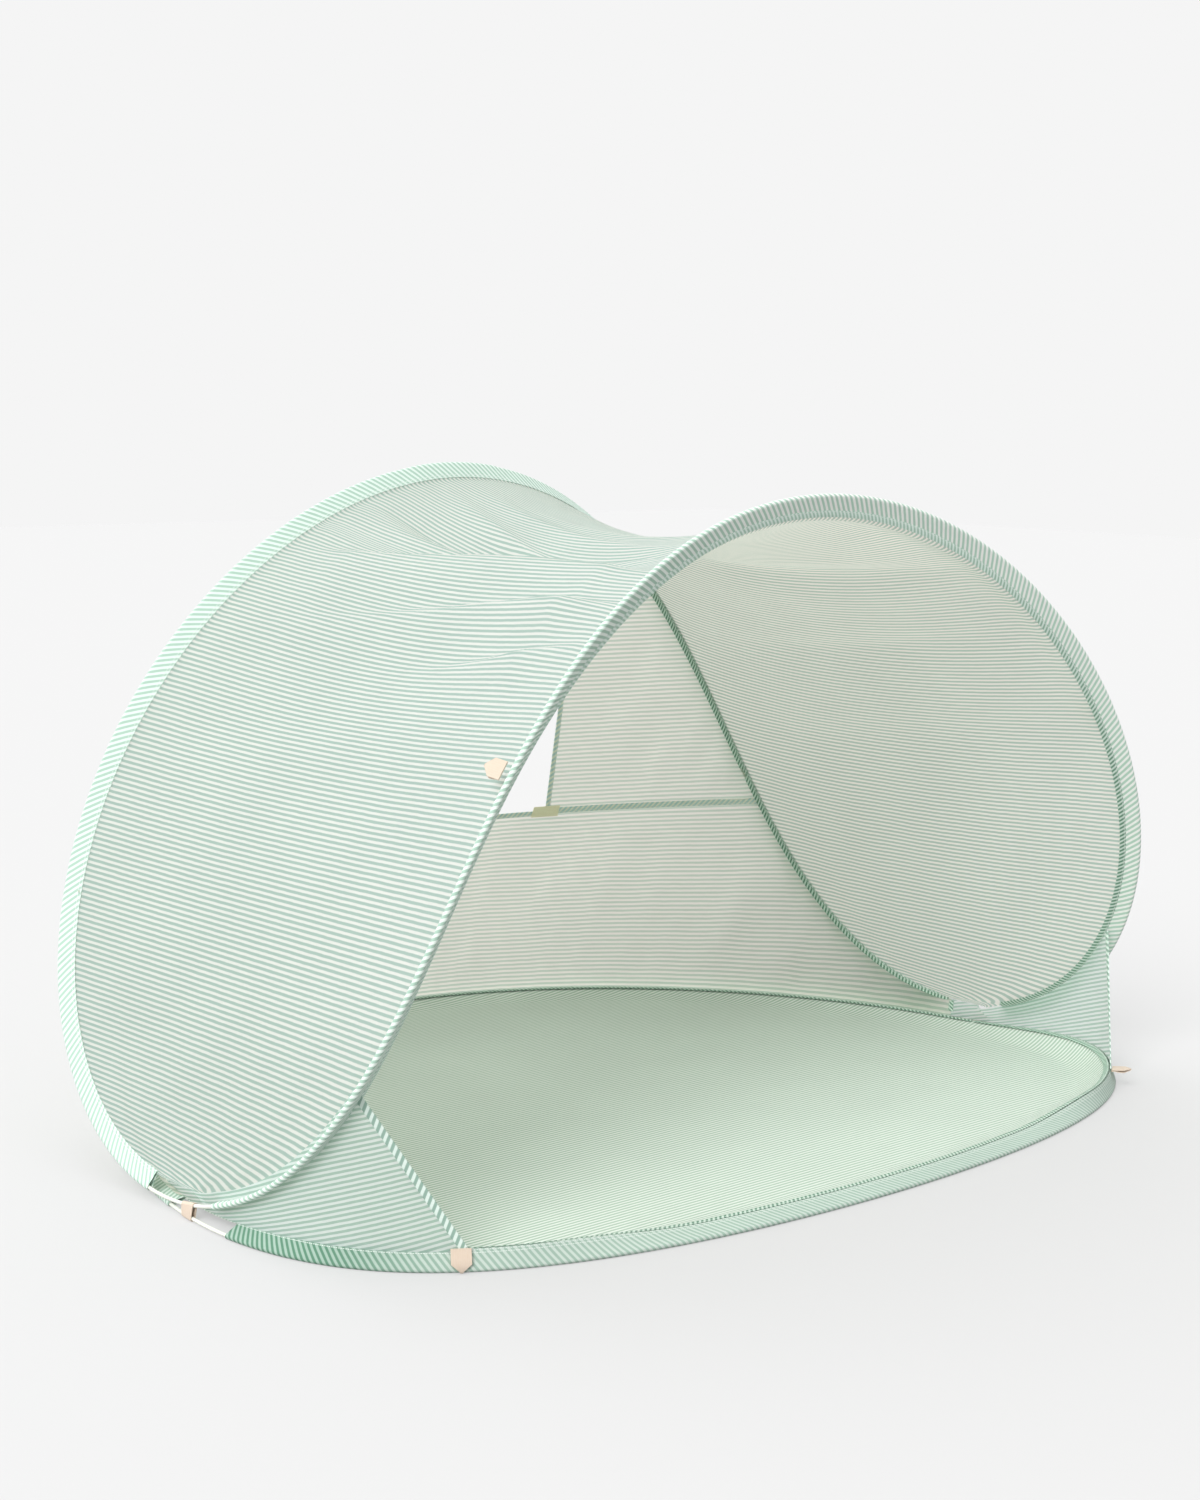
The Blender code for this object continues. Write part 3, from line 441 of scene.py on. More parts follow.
# Painted shade: the floor's front band is darker all over and deep green at its left end.
band_floor = cloth_finish("band_floor", LOW_BAND_WHITE, LOW_BAND_MINT, SLANT, see_through=0.1,
                          pitch=FLOOR_BAND_PITCH, rows=BAND_ROWS,
                          beyond=(*FLOOR_SHADE_CHANGE, LOW_BAND_MINT, DEEP_MINT))
light_tape = cloth_finish("light_tape", LOW_BAND_WHITE, DEEP_MINT, TAPE_SLANT, see_through=0.1,
                          pitch=TAPE_PITCH, rows=TAPE_ROWS, beyond=(*TAPE_CHANGE, BAND_WHITE, BAND_MINT))
tape_finish = cloth_finish("tape_finish", SEAM_MINT, DEEP_MINT, TAPE_SLANT, see_through=0.05,
                           pitch=TAPE_PITCH, rows=TAPE_ROWS)
side_tape = cloth_finish("side_tape", BAND_WHITE, SIDE_MINT, TAPE_SLANT, see_through=0.1,
                         pitch=SIDE_TAPE_PITCH, rows=TAPE_ROWS)
hem_finish = cloth_finish("hem_finish", WARM_YARN, MINT_YARN, SLANT, see_through=0.1, rows=HEM_ROWS)
print("band width", BAND_WIDTH, "m")

# %% [markdown]
# The webbing is a stiff cotton tape, 25 mm wide, with fine ribs across it. One sort is peach. The other is
# drawn khaki, which is painted shade: the darker, yellowed look of a tab seen through the lit wall.
# The same height that makes its ribs and edges also sets the colour: lighter on top, darker in the grooves
# between them.

# %% Webbing finish
RIB_PITCH = 0.0014
WEBBING_BLOTCHES = (180, 320)
WEBBING_BUMP = {"Strength": 0.8, "Distance": 0.0003}
WEBBING_SHEEN = 0.2
WEBBING_GLOSS = 0.2
WEBBING_ROUGH_FROM = -2.0
WEBBING_ROUGH_TO = 1.4
PEACH = (0.71, 0.60, 0.50)
PEACH_RIB = (0.66, 0.53, 0.41)
# Painted shade: the khaki stands for a tab seen through the lit wall.
SEEN_THROUGH_SHADE = (0.86, 0.82, 0.60)
SEEN_THROUGH_SHADE_RIB = (0.72, 0.68, 0.46)


def webbing_finish(name, light, dark):
    made = bpy.data.materials.new(name)
    tree = empty_tree(made)
    flat, u, v = cloth_places(tree)
    rib = u.math("PINGPONG", RIB_PITCH * HALF) * (2 / RIB_PITCH)
    edge = v.math("PINGPONG", RIB_PITCH) * (1 / RIB_PITCH)
    ribbing = (rib + edge) * HALF
    blotch = stretched_noise(flat, WEBBING_BLOTCHES, ROUGH_DETAIL)
    # The colour follows the rib height: lighter on top, darker in the grooves.
    colour = mix_colour(tree, (ribbing + blotch) * HALF, dark, light)
    bump = add_node(tree, "ShaderNodeBump", {**WEBBING_BUMP, "Height": ribbing}).outputs[0]
    face = add_node(tree, "ShaderNodeBsdfPrincipled",
                    {"Base Color": colour, "Roughness": blotch.carried(WEBBING_ROUGH_FROM, WEBBING_ROUGH_TO),
                     "Normal": bump, "Sheen Weight": WEBBING_SHEEN, "Specular IOR Level": WEBBING_GLOSS})
    show(tree, face)
    return made


webbing_finishes = {"peach_webbing": webbing_finish("peach_webbing", PEACH, PEACH_RIB),
                    "khaki_webbing": webbing_finish("khaki_webbing", SEEN_THROUGH_SHADE, SEEN_THROUGH_SHADE_RIB)}
print("webbing ribs every", RIB_PITCH * 1000, "mm")

# %% [markdown]
# The rods are smooth cream glass fibre, dull rather than shiny, and the ferrule that joins the ends of each
# rod is plain metal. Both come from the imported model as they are, so only their surface is given here.

# %% Rod and ferrule
ROD_LIGHT = (0.86, 0.87, 0.80)
ROD_DARK = (0.74, 0.76, 0.68)
FERRULE_LIGHT = (0.70, 0.70, 0.68)
FERRULE_DARK = (0.50, 0.50, 0.49)
FINE_SCALE_SHARE = 6
FINE_ROUGHNESS = 0.16
HARD_BUMP = {"Strength": 0.2, "Distance": 0.0002}


def hard_finish(name, light, dark, roughness, metallic, scale):
    """Smooth hard surface with faint streaks in colour and gloss. roughness is its middle value."""
    made = bpy.data.materials.new(name)
    tree = empty_tree(made)
    spot = add_node(tree, "ShaderNodeTexCoord").outputs["Object"]
    streak = add_node(tree, "ShaderNodeTexNoise",
                      {"Vector": spot, "Scale": scale, "Detail": ROUGH_DETAIL}).outputs[0]
    fine = add_node(tree, "ShaderNodeTexNoise",
                    {"Vector": spot, "Scale": scale * FINE_SCALE_SHARE, "Detail": EVEN_DETAIL}).outputs[0]
    rough = Signal(tree, fine) * FINE_ROUGHNESS + (roughness - FINE_ROUGHNESS * HALF)
    bump = add_node(tree, "ShaderNodeBump", {**HARD_BUMP, "Height": fine}).outputs[0]
    face = add_node(tree, "ShaderNodeBsdfPrincipled",
                    {"Base Color": mix_colour(tree, streak, light, dark), "Roughness": rough, "Normal": bump,
                     "Metallic": metallic})
    show(tree, face)
    return made


rod_finish = hard_finish("rod_finish", ROD_LIGHT, ROD_DARK, roughness=0.42, metallic=0.0, scale=90)
ferrule_finish = hard_finish("ferrule_finish", FERRULE_LIGHT, FERRULE_DARK, roughness=0.34, metallic=1.0,
                             scale=140)
rods = [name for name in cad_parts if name.startswith(("canopy_hoop", "floor_hoop"))]
for name in rods:
    for material_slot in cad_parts[name].material_slots:
        material_slot.link = "OBJECT"
        material_slot.material = ferrule_finish if name.endswith("ferrule") else rod_finish
print("rods dressed:", len(rods))

# %% [markdown]
# The canopy rod is a closed curve. A short sum of sines and cosines of one angle follows it, from the right
# corner (angle 0) over the front to the left corner (half a turn) and back behind. This is the same curve
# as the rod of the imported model, so the cloth meets the rod everywhere.

# %% Canopy rod
CORNER_HALF_WIDTH = 0.7799
CORNER_ROD_HEIGHT = 0.0183
CANOPY_SIDE_BULGE = 0.0690
CANOPY_SIDE_FINE = 0.0027
CANOPY_SIDE_LEAN = 0.0045
CANOPY_DEPTH = 0.4971
CANOPY_DEPTH_THIRD = 0.1045
CANOPY_BACK_SHIFT = 0.0297
CANOPY_BACK_FOURTH = 0.0110
CANOPY_RISE = 0.4480
CANOPY_RISE_FOURTH = 0.0080
CANOPY_FRONT_LIFT = 0.0218
CANOPY_FRONT_LIFT_THIRD = 0.0300
SMALL_TURN = 0.001
UP = Vector((0, 0, 1))


def canopy_rod(t):
    x = (CORNER_HALF_WIDTH * cos(t) - CANOPY_SIDE_BULGE * (cos(3 * t) - cos(t))
         + CANOPY_SIDE_FINE * (cos(5 * t) - cos(t)) - CANOPY_SIDE_LEAN * sin(2 * t))
    y = (-CANOPY_DEPTH * sin(t) - CANOPY_DEPTH_THIRD * sin(3 * t)
         + CANOPY_BACK_SHIFT * (1 - cos(2 * t)) + CANOPY_BACK_FOURTH * (1 - cos(4 * t)))
    z = (CORNER_ROD_HEIGHT + CANOPY_RISE * (1 - cos(2 * t)) - CANOPY_RISE_FOURTH * (1 - cos(4 * t))
         + CANOPY_FRONT_LIFT * sin(t) + CANOPY_FRONT_LIFT_THIRD * sin(3 * t))
    return Vector((x, y, z))


def tangent(rod, t):
    return (rod(t + SMALL_TURN) - rod(t - SMALL_TURN)).normalized()


print("top of the front arch", [round(c, 3) for c in canopy_rod(pi / 2)])

# %% [markdown]
# The floor rod is a second closed curve of the same kind. It lies on the ground inside its sleeve, which is
# a little fatter over the metal ferrule behind, so the curve rises there by the same amount.

# %% Floor rod
FLOOR_HALF_WIDTH = 0.7857
FLOOR_SIDE_BULGE = 0.0178
FLOOR_BACK_OFFSET = 0.0707
FLOOR_DEPTH = 0.6115
FLOOR_DEPTH_THIRD = 0.0079
FLOOR_BACK_SHIFT = 0.0964
FLOOR_ROD_HEIGHT = 0.0039
SLEEVE_SWELL = 0.0011
FERRULE_TURN = 0.036


def smooth_step(low, high, value):
    share = min(max((value - low) / (high - low), 0), 1)
    return share * share * (3 - 2 * share)


def floor_rod(t):
    x = FLOOR_HALF_WIDTH * cos(t) - FLOOR_SIDE_BULGE * (cos(3 * t) - cos(t))
    y = (-FLOOR_BACK_OFFSET - FLOOR_DEPTH * sin(t) + FLOOR_DEPTH_THIRD * sin(3 * t)
         + FLOOR_BACK_SHIFT * (1 - cos(2 * t)))
    from_behind = abs(atan2(cos(t), -sin(t)))
    over_ferrule = 1 - smooth_step(FERRULE_TURN, 3 * FERRULE_TURN, from_behind)
    return Vector((x, y, FLOOR_ROD_HEIGHT + SLEEVE_SWELL * over_ferrule))


print("front edge of the floor", [round(c, 3) for c in floor_rod(pi / 2)])

# %% [markdown]
# Each arch's sleeve is a band 24 mm wide, and the canopy is sewn to its inner edge. The pull of the cloth
# turns the band towards the sag of the canopy. So the band is aimed at a point below the middle of the
# sheet: deep below it at the top of the front arch, where the real band lies steepest, and less elsewhere.

# %% Seam of the arches
CANOPY_SAG = 0.065
NEAREST_AIM_TURN = 0.06
EVEN_AIM = 2
FRONT_AIM = 10
TOP_AIM = 20
TOP_AIM_HOLD = 0.15
TOP_AIM_GONE = 0.80
LEFT_AIM = 7.2
LEAST_SIN = 0.10
REAR_AIM = 8
REAR_AIM_FROM = 1.1
REAR_AIM_FULL = 1.7


def middle_line(t):
    return (canopy_rod(t) + canopy_rod(-t)) * HALF


def inward_normal(t):
    along = middle_line(t + SMALL_TURN) - middle_line(t - SMALL_TURN)
    return along.cross(Vector((0, 1, 0))).normalized()


def canopy_sag(t):
    return CANOPY_SAG * sin(t) ** 2


def aim_sags(t):
    """How deep the sleeve band aims below the middle of the canopy, counted in sags."""
    if t <= 0:
        return EVEN_AIM + (REAR_AIM - EVEN_AIM) * smooth_step(REAR_AIM_FROM, REAR_AIM_FULL, -t)
    flank = LEFT_AIM / max(sin(t) ** 2, LEAST_SIN) if t > pi / 2 else FRONT_AIM
    at_top = 1 - smooth_step(TOP_AIM_HOLD, TOP_AIM_GONE, abs(t - pi / 2))
    return flank + (TOP_AIM - flank) * at_top


def canopy_seam(t, reach, rise, aim_depth=None):
    """Point beside the canopy rod: reach along the sleeve band, rise towards the outside."""
    centre = canopy_rod(t)
    along = tangent(canopy_rod, t)
    turn = min(max(abs(t), NEAREST_AIM_TURN), pi - NEAREST_AIM_TURN)
    aim = middle_line(turn) + inward_normal(turn) * (aim_depth or aim_sags(t)) * canopy_sag(turn) - centre
    inward = (aim - along * aim.dot(along)).normalized()
    return centre + inward * reach + inward.cross(along) * rise


print("seam at the top of the front arch", [round(c, 3) for c in canopy_seam(pi / 2, BAND_WIDTH, 0)])

# %% [markdown]
# The band of the floor's sleeve slopes up from the rod. It lies low behind and in front. Beside the side
# walls, which pull it up, it stands almost upright.

# %% Seam of the floor
LOW_BAND_TILT = radians(15)
FRONT_BAND_TILT = radians(25)
UPRIGHT_BAND_TILT = radians(75)
UPRIGHT_FROM = -0.2
UPRIGHT_FULL = 0.45
UPRIGHT_LEAVES = 0.8
UPRIGHT_GONE = 1.2
FRONT_TILT_FULL = 1.3


def band_tilt(t):
    """Slope of the floor sleeve's band. Both sides have the same slope at the same way from their corner."""
    turn = atan2(sin(t), abs(cos(t)))
    upright = smooth_step(UPRIGHT_FROM, UPRIGHT_FULL, turn)
    upright *= 1 - smooth_step(UPRIGHT_LEAVES, UPRIGHT_GONE, turn)
    front = smooth_step(UPRIGHT_LEAVES, FRONT_TILT_FULL, turn)
    low = LOW_BAND_TILT + (FRONT_BAND_TILT - LOW_BAND_TILT) * front
    return low + (UPRIGHT_BAND_TILT - low) * upright


def floor_seam(t, reach, rise):
    """Point beside the floor rod: reach along the sleeve band, rise towards the upper side."""
    inward = tangent(floor_rod, t).cross(UP)
    tilt = band_tilt(t)
    out = inward * (reach * cos(tilt) - rise * sin(tilt))
    return floor_rod(t) + out + UP * (reach * sin(tilt) + rise * cos(tilt))


print("floor seam in front", [round(c, 3) for c in floor_seam(pi / 2, BAND_WIDTH, 0)])

# %% [markdown]
# Every piece of cloth starts as a grid of points: columns along it, and rows across it. A few helpers divide
# a stretch evenly, measure along a line of points, and measure the area of a grid.

# %% Grids of points
def spread(start, end, count):
    return [start + (end - start) * k / (count - 1) for k in range(count)]


def run_lengths(line):
    """Distance along a line of points, starting at 0."""
    total = [0.0]
    for before, after in zip(line, line[1:]):
        total.append(total[-1] + (Vector(after) - Vector(before)).length)
    return total


def as_grid(points):
    return np.array([[tuple(spot) for spot in column] for column in points], float)


def area_of(points):
    """Area of a grid of points."""
    grid = as_grid(points)
    one = np.cross(grid[1:, :-1] - grid[:-1, :-1], grid[:-1, 1:] - grid[:-1, :-1])
    two = np.cross(grid[1:, :-1] - grid[1:, 1:], grid[:-1, 1:] - grid[1:, 1:])
    return float((np.linalg.norm(one, axis=2) + np.linalg.norm(two, axis=2)).sum() * HALF)


front_rod = [canopy_rod(t) for t in spread(0, pi, 100)]
print("length of the front arch", round(run_lengths(front_rod)[-1], 3), "m")

# %% [markdown]
# A grid becomes a mesh here. Wide sheets are one layer, which lets the light through in the right way.
# Bands, tapes and webbing are closed slabs with a real thickness. Each point also carries its place on the
# flat cloth, which the stripes need, and how far it follows the front of the tent when that folds.

# %% Cloth maker
THIN_CLOTH = 0.0004
MERGE_DISTANCE = 0.00001
SHARP_EDGE = radians(50)
NO_AREA = 1e-12
made_pieces = []


def cloth_layers(points, thickness, flip, ring):
    """Corners of the sheet's layers: the grid itself, or one copy half a thickness to each side of it."""
    grid = as_grid(points)
    along = np.gradient(grid, axis=0)
    if ring:
        along[0] = along[-1] = grid[1] - grid[-2]
    normal = np.cross(along, np.gradient(grid, axis=1))
    normal /= np.maximum(np.linalg.norm(normal, axis=2, keepdims=True), NO_AREA)
    shifts = (HALF, -HALF) if thickness else (0,)
    if flip:
        normal = -normal
    return [(grid + normal * thickness * shift).reshape(-1, 3) for shift in shifts]


def cloth_faces(columns, rows, thickness, keep, flip, ring):
    """Faces of a sheet. A slab has its second layer turned over, and a rim where no neighbour follows."""
    count = columns * rows
    faces = []

    def has_neighbour(i, j):
        return (ring or 0 <= i < columns - 1) and 0 <= j < rows - 1

    for i in range(columns - 1):
        for j in range(rows - 1):
            if keep and not keep(i, j):
                continue
            a, b = i * rows + j, (i + 1) * rows + j
            c, d = b + 1, a + 1
            faces.append((d, c, b, a) if flip else (a, b, c, d))
            if not thickness:
                continue
            faces.append(tuple(corner + count for corner in reversed(faces[-1])))
            rims = ((i, j - 1, a, b), (i + 1, j, b, c), (i, j + 1, c, d), (i - 1, j, d, a))
            for near, far, start, end in rims:
                if not has_neighbour(near, far):
                    if flip:
                        start, end = end, start
                    faces.append((start, start + count, end + count, end))
    return faces


def cloth(name, points, cut, finish, thickness=0, keep=None, fold=None, flip=False, ring=False):
    """Sheet or slab through a grid of points. cut holds each point's place on the flat cloth."""
    layers = cloth_layers(points, thickness, flip, ring)
    data = bpy.data.meshes.new(name)
    faces = cloth_faces(len(points), len(points[0]), thickness, keep, flip, ring)
    data.from_pydata(np.concatenate(layers).tolist(), [], faces)
    data.materials.append(finish)
    flat = np.concatenate([np.array(cut, float).reshape(-1, 2)] * len(layers))
    corners = np.zeros(len(data.loops), int)
    data.loops.foreach_get("vertex_index", corners)
    data.uv_layers.new(name="cut").data.foreach_set("uv", flat[corners].ravel())
    if fold is not None:
        shares = np.concatenate([np.array(fold, float).ravel()] * len(layers))
        data.attributes.new("fold", "FLOAT", "POINT").data.foreach_set("value", shares)
    mesh = bmesh.new()
    mesh.from_mesh(data)
    bmesh.ops.remove_doubles(mesh, verts=mesh.verts, dist=MERGE_DISTANCE)
    loose = [corner for corner in mesh.verts if not corner.link_faces]
    bmesh.ops.delete(mesh, geom=loose, context="VERTS")
    mesh.to_mesh(data)
    mesh.free()
    data.shade_smooth()
    data.set_sharp_from_angle(angle=SHARP_EDGE)
    piece = new_object(name, data)
    made_pieces.append(piece)
    return piece


print("thin cloth", THIN_CLOTH * 1000, "mm thick")

# %% [markdown]
# The tent folds along the line through both corners: the front arch and the front half of the floor turn as
# one body. A sheet that crosses this line can't be cut there, so each of its points turns by its own share.
# The other pieces ride on one body. Each piece also hides the solid of the imported model it stands for.

# %% Bodies and nodes
FOLD_START = (0, 0.5, 0)
FOLD_END = (0, -0.5, 0)
FLOOR_BLEND = 0.04


def bend_with_fold(piece):
    """Lets a sheet turn between the two halves of the tent by the share stored at each point."""
    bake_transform(piece, "base", "front", start=FOLD_START, end=FOLD_END)
    marks = piece.data.attributes
    shares = np.zeros(len(piece.data.vertices), np.float32)
    marks["fold"].data.foreach_get("value", shares)
    marks["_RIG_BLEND"].data.foreach_set("value", shares)
    marks.remove(marks["fold"])


def fasten(piece, node, body=None):
    """Gives a piece its body, or lets it bend with the fold, and hides the imported solid it stands for."""
    if body:
        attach(piece, body)
    else:
        bend_with_fold(piece)
    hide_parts(node)


def turn_with_floor(points, half=FLOOR_BLEND):
    """Shares of the front half's turn for cloth that crosses the fold line, y = 0."""
    return [[1 - smooth_step(-half, half, spot.y) for spot in column] for column in points]


# %% [markdown]
# The canopy is one sheet slung between the two arches. Light creases run across it from seam to seam,
# because the cloth is pulled along the arches. They could be simulated, but then they would fall at random.
# Here each one is a ridge or a hollow with its own line, height and width, placed as on the real sheet.

# %% Creases of the canopy
# Each crease: angle on the front arch, angle on the rear arch, bow towards the top, height, width below and
# above the crease line, where between front (0) and rear (1) it is strongest, and how far it reaches.
CREASES = (
    (1.875, 1.895, 0.045, 0.044, 0.075, 0.016, 0.45, 0.42),
    (1.755, 1.770, 0.020, -0.034, 0.020, 0.055, 0.50, 0.36),
    (1.950, 2.050, 0.045, 0.026, 0.050, 0.010, 0.15, 0.45),
    (2.020, 2.110, 0.000, 0.020, 0.045, 0.010, 0.10, 0.26),
    (1.830, 1.755, 0.000, 0.012, 0.022, 0.010, 0.80, 0.20),
    (1.830, 1.610, 0.000, 0.009, 0.016, 0.010, 0.50, 0.40),
    (1.700, 1.560, 0.000, 0.007, 0.016, 0.010, 0.60, 0.35),
    (1.600, 1.540, 0.000, 0.006, 0.016, 0.010, 0.40, 0.35),
    (1.960, 2.010, 0.000, 0.004, 0.040, 0.030, 0.85, 0.25),
    (2.150, 2.260, 0.020, 0.003, 0.050, 0.030, 0.55, 0.30),
    (1.247, 1.240, -0.035, 0.014, 0.040, 0.025, 0.50, 0.45),
    (1.100, 1.020, 0.000, 0.004, 0.030, 0.015, 0.45, 0.40),
    (0.900, 0.820, 0.000, 0.003, 0.040, 0.030, 0.50, 0.40),
)
CREASE_FADE = 2


def crease_height(t, share):
    """Height of all creases at one point of the canopy, towards the outside."""
    total = 0
    for front_end, rear_end, bow, height, below, above_line, strongest, reach in CREASES:
        middle = front_end + (rear_end - front_end) * share - bow * sin(pi * share)
        off = (t - middle) * CORNER_HALF_WIDTH
        if t < pi / 2:
            off = -off
        width = below if off > 0 else above_line
        total += height * exp(-(off / width) ** 2 - ((share - strongest) / reach) ** 2)
    return total * min(sin(pi * share) * CREASE_FADE, 1)


print("creases:", len(CREASES))

# %% [markdown]
# The sheet is a set of straight lines from the front seam to the rear seam, pushed inwards by a parabola.
# Next to each seam it first follows the slope of the sleeve band. Small waves keep it from looking like
# metal: slow ones everywhere, upright ones on the flanks, and short puckers beside the stitches.

# %% Surface of the canopy
SEAM_LAP = 0.004
DIP_REACH = 0.012

# Waves: height, how many to a radian of the arch, how many from seam to seam, and their place in the noise.
SLOW_WAVE = (0.0035, 5.5, 2.2, 3.7)
FINE_WAVE = (0.0014, 13, 3.5, 9.1)
UPRIGHT_WAVE = (0.0040, 1.6, 13, 21.3)
SEAM_PUCKER = (0.0016, 34, 5, 5.5)
FLANK_FROM = 0.45
FLANK_FULL = 1.1
FRONT_PUCKER_REACH = 0.05
REAR_PUCKER_REACH = 0.07
WAVE_FADE = 4


def seam_dip(t, share):
    """Extra depth of the sheet close to its seams, where it leaves the sleeve bands."""
    front = (aim_sags(t) - EVEN_AIM) * share * exp(-share / DIP_REACH)
    rear = (aim_sags(-t) - EVEN_AIM) * (1 - share) * exp((share - 1) / DIP_REACH)
    return 2 * canopy_sag(t) * (front + rear)


def wave_height(wave, t, share):
    height, along, across, place = wave
    return height * noise.noise(Vector((t * along, share * across, place)))


def canopy_waves(t, share):
    """Height of all small waves at one point of the canopy."""
    flank = smooth_step(FLANK_FROM, FLANK_FULL, abs(t - pi / 2))
    near_seam = exp(-(1 - share) / REAR_PUCKER_REACH) + exp(-share / FRONT_PUCKER_REACH)
    total = wave_height(SLOW_WAVE, t, share) + wave_height(FINE_WAVE, t, share)
    total += wave_height(UPRIGHT_WAVE, t, share) * flank + wave_height(SEAM_PUCKER, t, share) * near_seam
    return total * min(sin(pi * share) * WAVE_FADE, 1) * sin(t) ** HALF


def canopy_point(front_angle, rear_angle, share):
    t = front_angle + (rear_angle - front_angle) * share
    drop = canopy_sag(t) * 4 * share * (1 - share) + seam_dip(t, share)
    drop -= crease_height(t, share) + canopy_waves(t, share)
    front = canopy_seam(front_angle, BAND_WIDTH - SEAM_LAP, 0)
    rear = canopy_seam(-rear_angle, BAND_WIDTH - SEAM_LAP, 0)
    return front.lerp(rear, share) + inward_normal(t) * drop


print("middle of the canopy", [round(c, 3) for c in canopy_point(pi / 2, pi / 2, HALF)])

# %% [markdown]
# Now the grid is filled. Both seams are divided into the same number of steps, with a few finer ones where
# the sheet runs out at the corners. When the front folds back, each point turns by its angle between the
# two seams, so the sheet closes like a fan.

# %% Canopy sheet
FRONT_ARCH_START = 0.065
REAR_ARCH_START = 0.115
CANOPY_END = 0.025
CANOPY_COLUMNS = 340
CANOPY_ROWS = 84
END_COLUMNS = 6
STRIPE_SKEW = 0.058
LEAST_FAN = 0.05


def seam_angles(start):
    """Angles along one arch: short ends out to the corners, and even steps between them."""
    return (spread(CANOPY_END, start, END_COLUMNS)[:-1] + spread(start, pi - start, CANOPY_COLUMNS)
            + spread(pi - start, pi - CANOPY_END, END_COLUMNS)[1:])


def angle_about_corners(spot):
    return atan2(spot.z - CORNER_ROD_HEIGHT, -spot.y)


def fold_share(spot, front, rear, share):
    """How far a canopy point follows the front: by its angle about the line through both corners."""
    width = angle_about_corners(rear) - angle_about_corners(front)
    if abs(width) < LEAST_FAN:
        return 1 - share
    return min(max((angle_about_corners(rear) - angle_about_corners(spot)) / width, 0), 1)


def closer_at_ends(share):
    """Even steps from 0 to 1 drawn half way towards steps that crowd at both ends."""
    return (share + (1 - cos(pi * share)) * HALF) * HALF


shares = [closer_at_ends(share) for share in spread(0, 1, CANOPY_ROWS + 1)]
front_side = seam_angles(FRONT_ARCH_START)
points = [[canopy_point(ahead, behind, share) for share in shares]
          for ahead, behind in zip(front_side, seam_angles(REAR_ARCH_START))]
middle_run = run_lengths([column[CANOPY_ROWS // 2] for column in points])
cut = [[(along - STRIPE_SKEW * cos(t) * (share - HALF), length)
        for share, length in zip(shares, run_lengths(column))]
       for t, along, column in zip(front_side, middle_run, points)]
fold = [[fold_share(spot, column[0], column[-1], share) for spot, share in zip(column, shares)]
        for column in points]
canopy = cloth("canopy_cloth", points, cut, canopy_weave, fold=fold, flip=True)
fasten(canopy, "canopy_panel")
print("canopy area", round(area_of(points), 3), "m2, length over the arch", round(middle_run[-1], 3), "m")

# %% [markdown]
# The floor sheet lies flat on the ground. Its rim rises to the seam of the floor sleeve, steeply beside the
# side walls and gently elsewhere. Rings of points run inwards from the seam to the middle of the sheet.

# %% Floor sheet
FLOOR_FRONT_START = 0.039
FLOOR_REAR_START = 0.200
FLOOR_RIM_RUN = 0.050
RIM_TURN_SHARE = 0.4
RIM_CURVE = 1.6
TAPE_WIDTH = 0.009
FLOOR_COLUMNS = 360
RIM_ROWS = 9
INNER_RINGS = 44
FLOOR_MIDDLE = Vector((0, -0.03, THIN_CLOTH))


def floor_rim(t, run, rise):
    """Point on the floor sheet beyond the seam, measured along the sheet as it leaves the band."""
    inward = tangent(floor_rod, t).cross(UP)
    turn = (LOW_BAND_TILT - band_tilt(t)) * RIM_TURN_SHARE
    across = inward * (run * cos(turn) - rise * sin(turn))
    return floor_seam(t, BAND_WIDTH, 0) + across + UP * (run * sin(turn) + rise * cos(turn))


def floor_column(t):
    """Points of the floor sheet from the seam at angle t inwards to its middle."""
    first = floor_rim(t, TAPE_WIDTH * HALF, 0)
    end = floor_rim(t, TAPE_WIDTH + FLOOR_RIM_RUN, 0)
    end.z = THIN_CLOTH
    column = [floor_seam(t, BAND_WIDTH - SEAM_LAP, 0)]
    for share in spread(0, 1, RIM_ROWS + 1):
        spot = first.lerp(end, share)
        spot.z = THIN_CLOTH + (first.z - THIN_CLOTH) * (1 - share) ** RIM_CURVE
        column.append(spot)
    return column + [end.lerp(FLOOR_MIDDLE, share) for share in spread(0, 1, INNER_RINGS + 1)[1:]]


points = [floor_column(t) for t in spread(0, 2 * pi, FLOOR_COLUMNS + 1)]
points[-1] = [spot.copy() for spot in points[0]]
cut = [[(spot.x, spot.y) for spot in column] for column in points]
floor = cloth("floor_cloth", points, cut, floor_weave, fold=turn_with_floor(points), ring=True)
fasten(floor, "floor_panel")
print("floor area", round(area_of(points), 3), "m2")

# %% [markdown]
# The walls hang between the canopy's seam and the floor's seam. The rear wall is two panels, sewn together
# along one level seam. A place on it is given by a share u, from the right corner to the left one, and a
# height above the ground, on the straight line from the foot to the head of the wall.

# %% Places on the rear wall
SEAM_CANOPY_ANGLE = 0.080
CROSS_SEAM_HEIGHT = 0.333
WALL_DOWN = 0.0016
HEAD_STEPS = 41
WINDOW_STEPS = 16
WINDOW_SIDE = WINDOW_STEPS / HEAD_STEPS
SEARCH_STEPS = 40


def angle_at(reading, goal, low, high):
    """Place between low and high where a steadily changing reading meets the goal."""
    rising = reading(high) > reading(low)
    for step in range(SEARCH_STEPS):
        middle = (low + high) * HALF
        if (reading(middle) < goal) == rising:
            low = middle
        else:
            high = middle
    return (low + high) * HALF


def rear_foot(u):
    return floor_seam(-FLOOR_REAR_START + (2 * FLOOR_REAR_START - pi) * u, BAND_WIDTH - SEAM_LAP, WALL_DOWN)


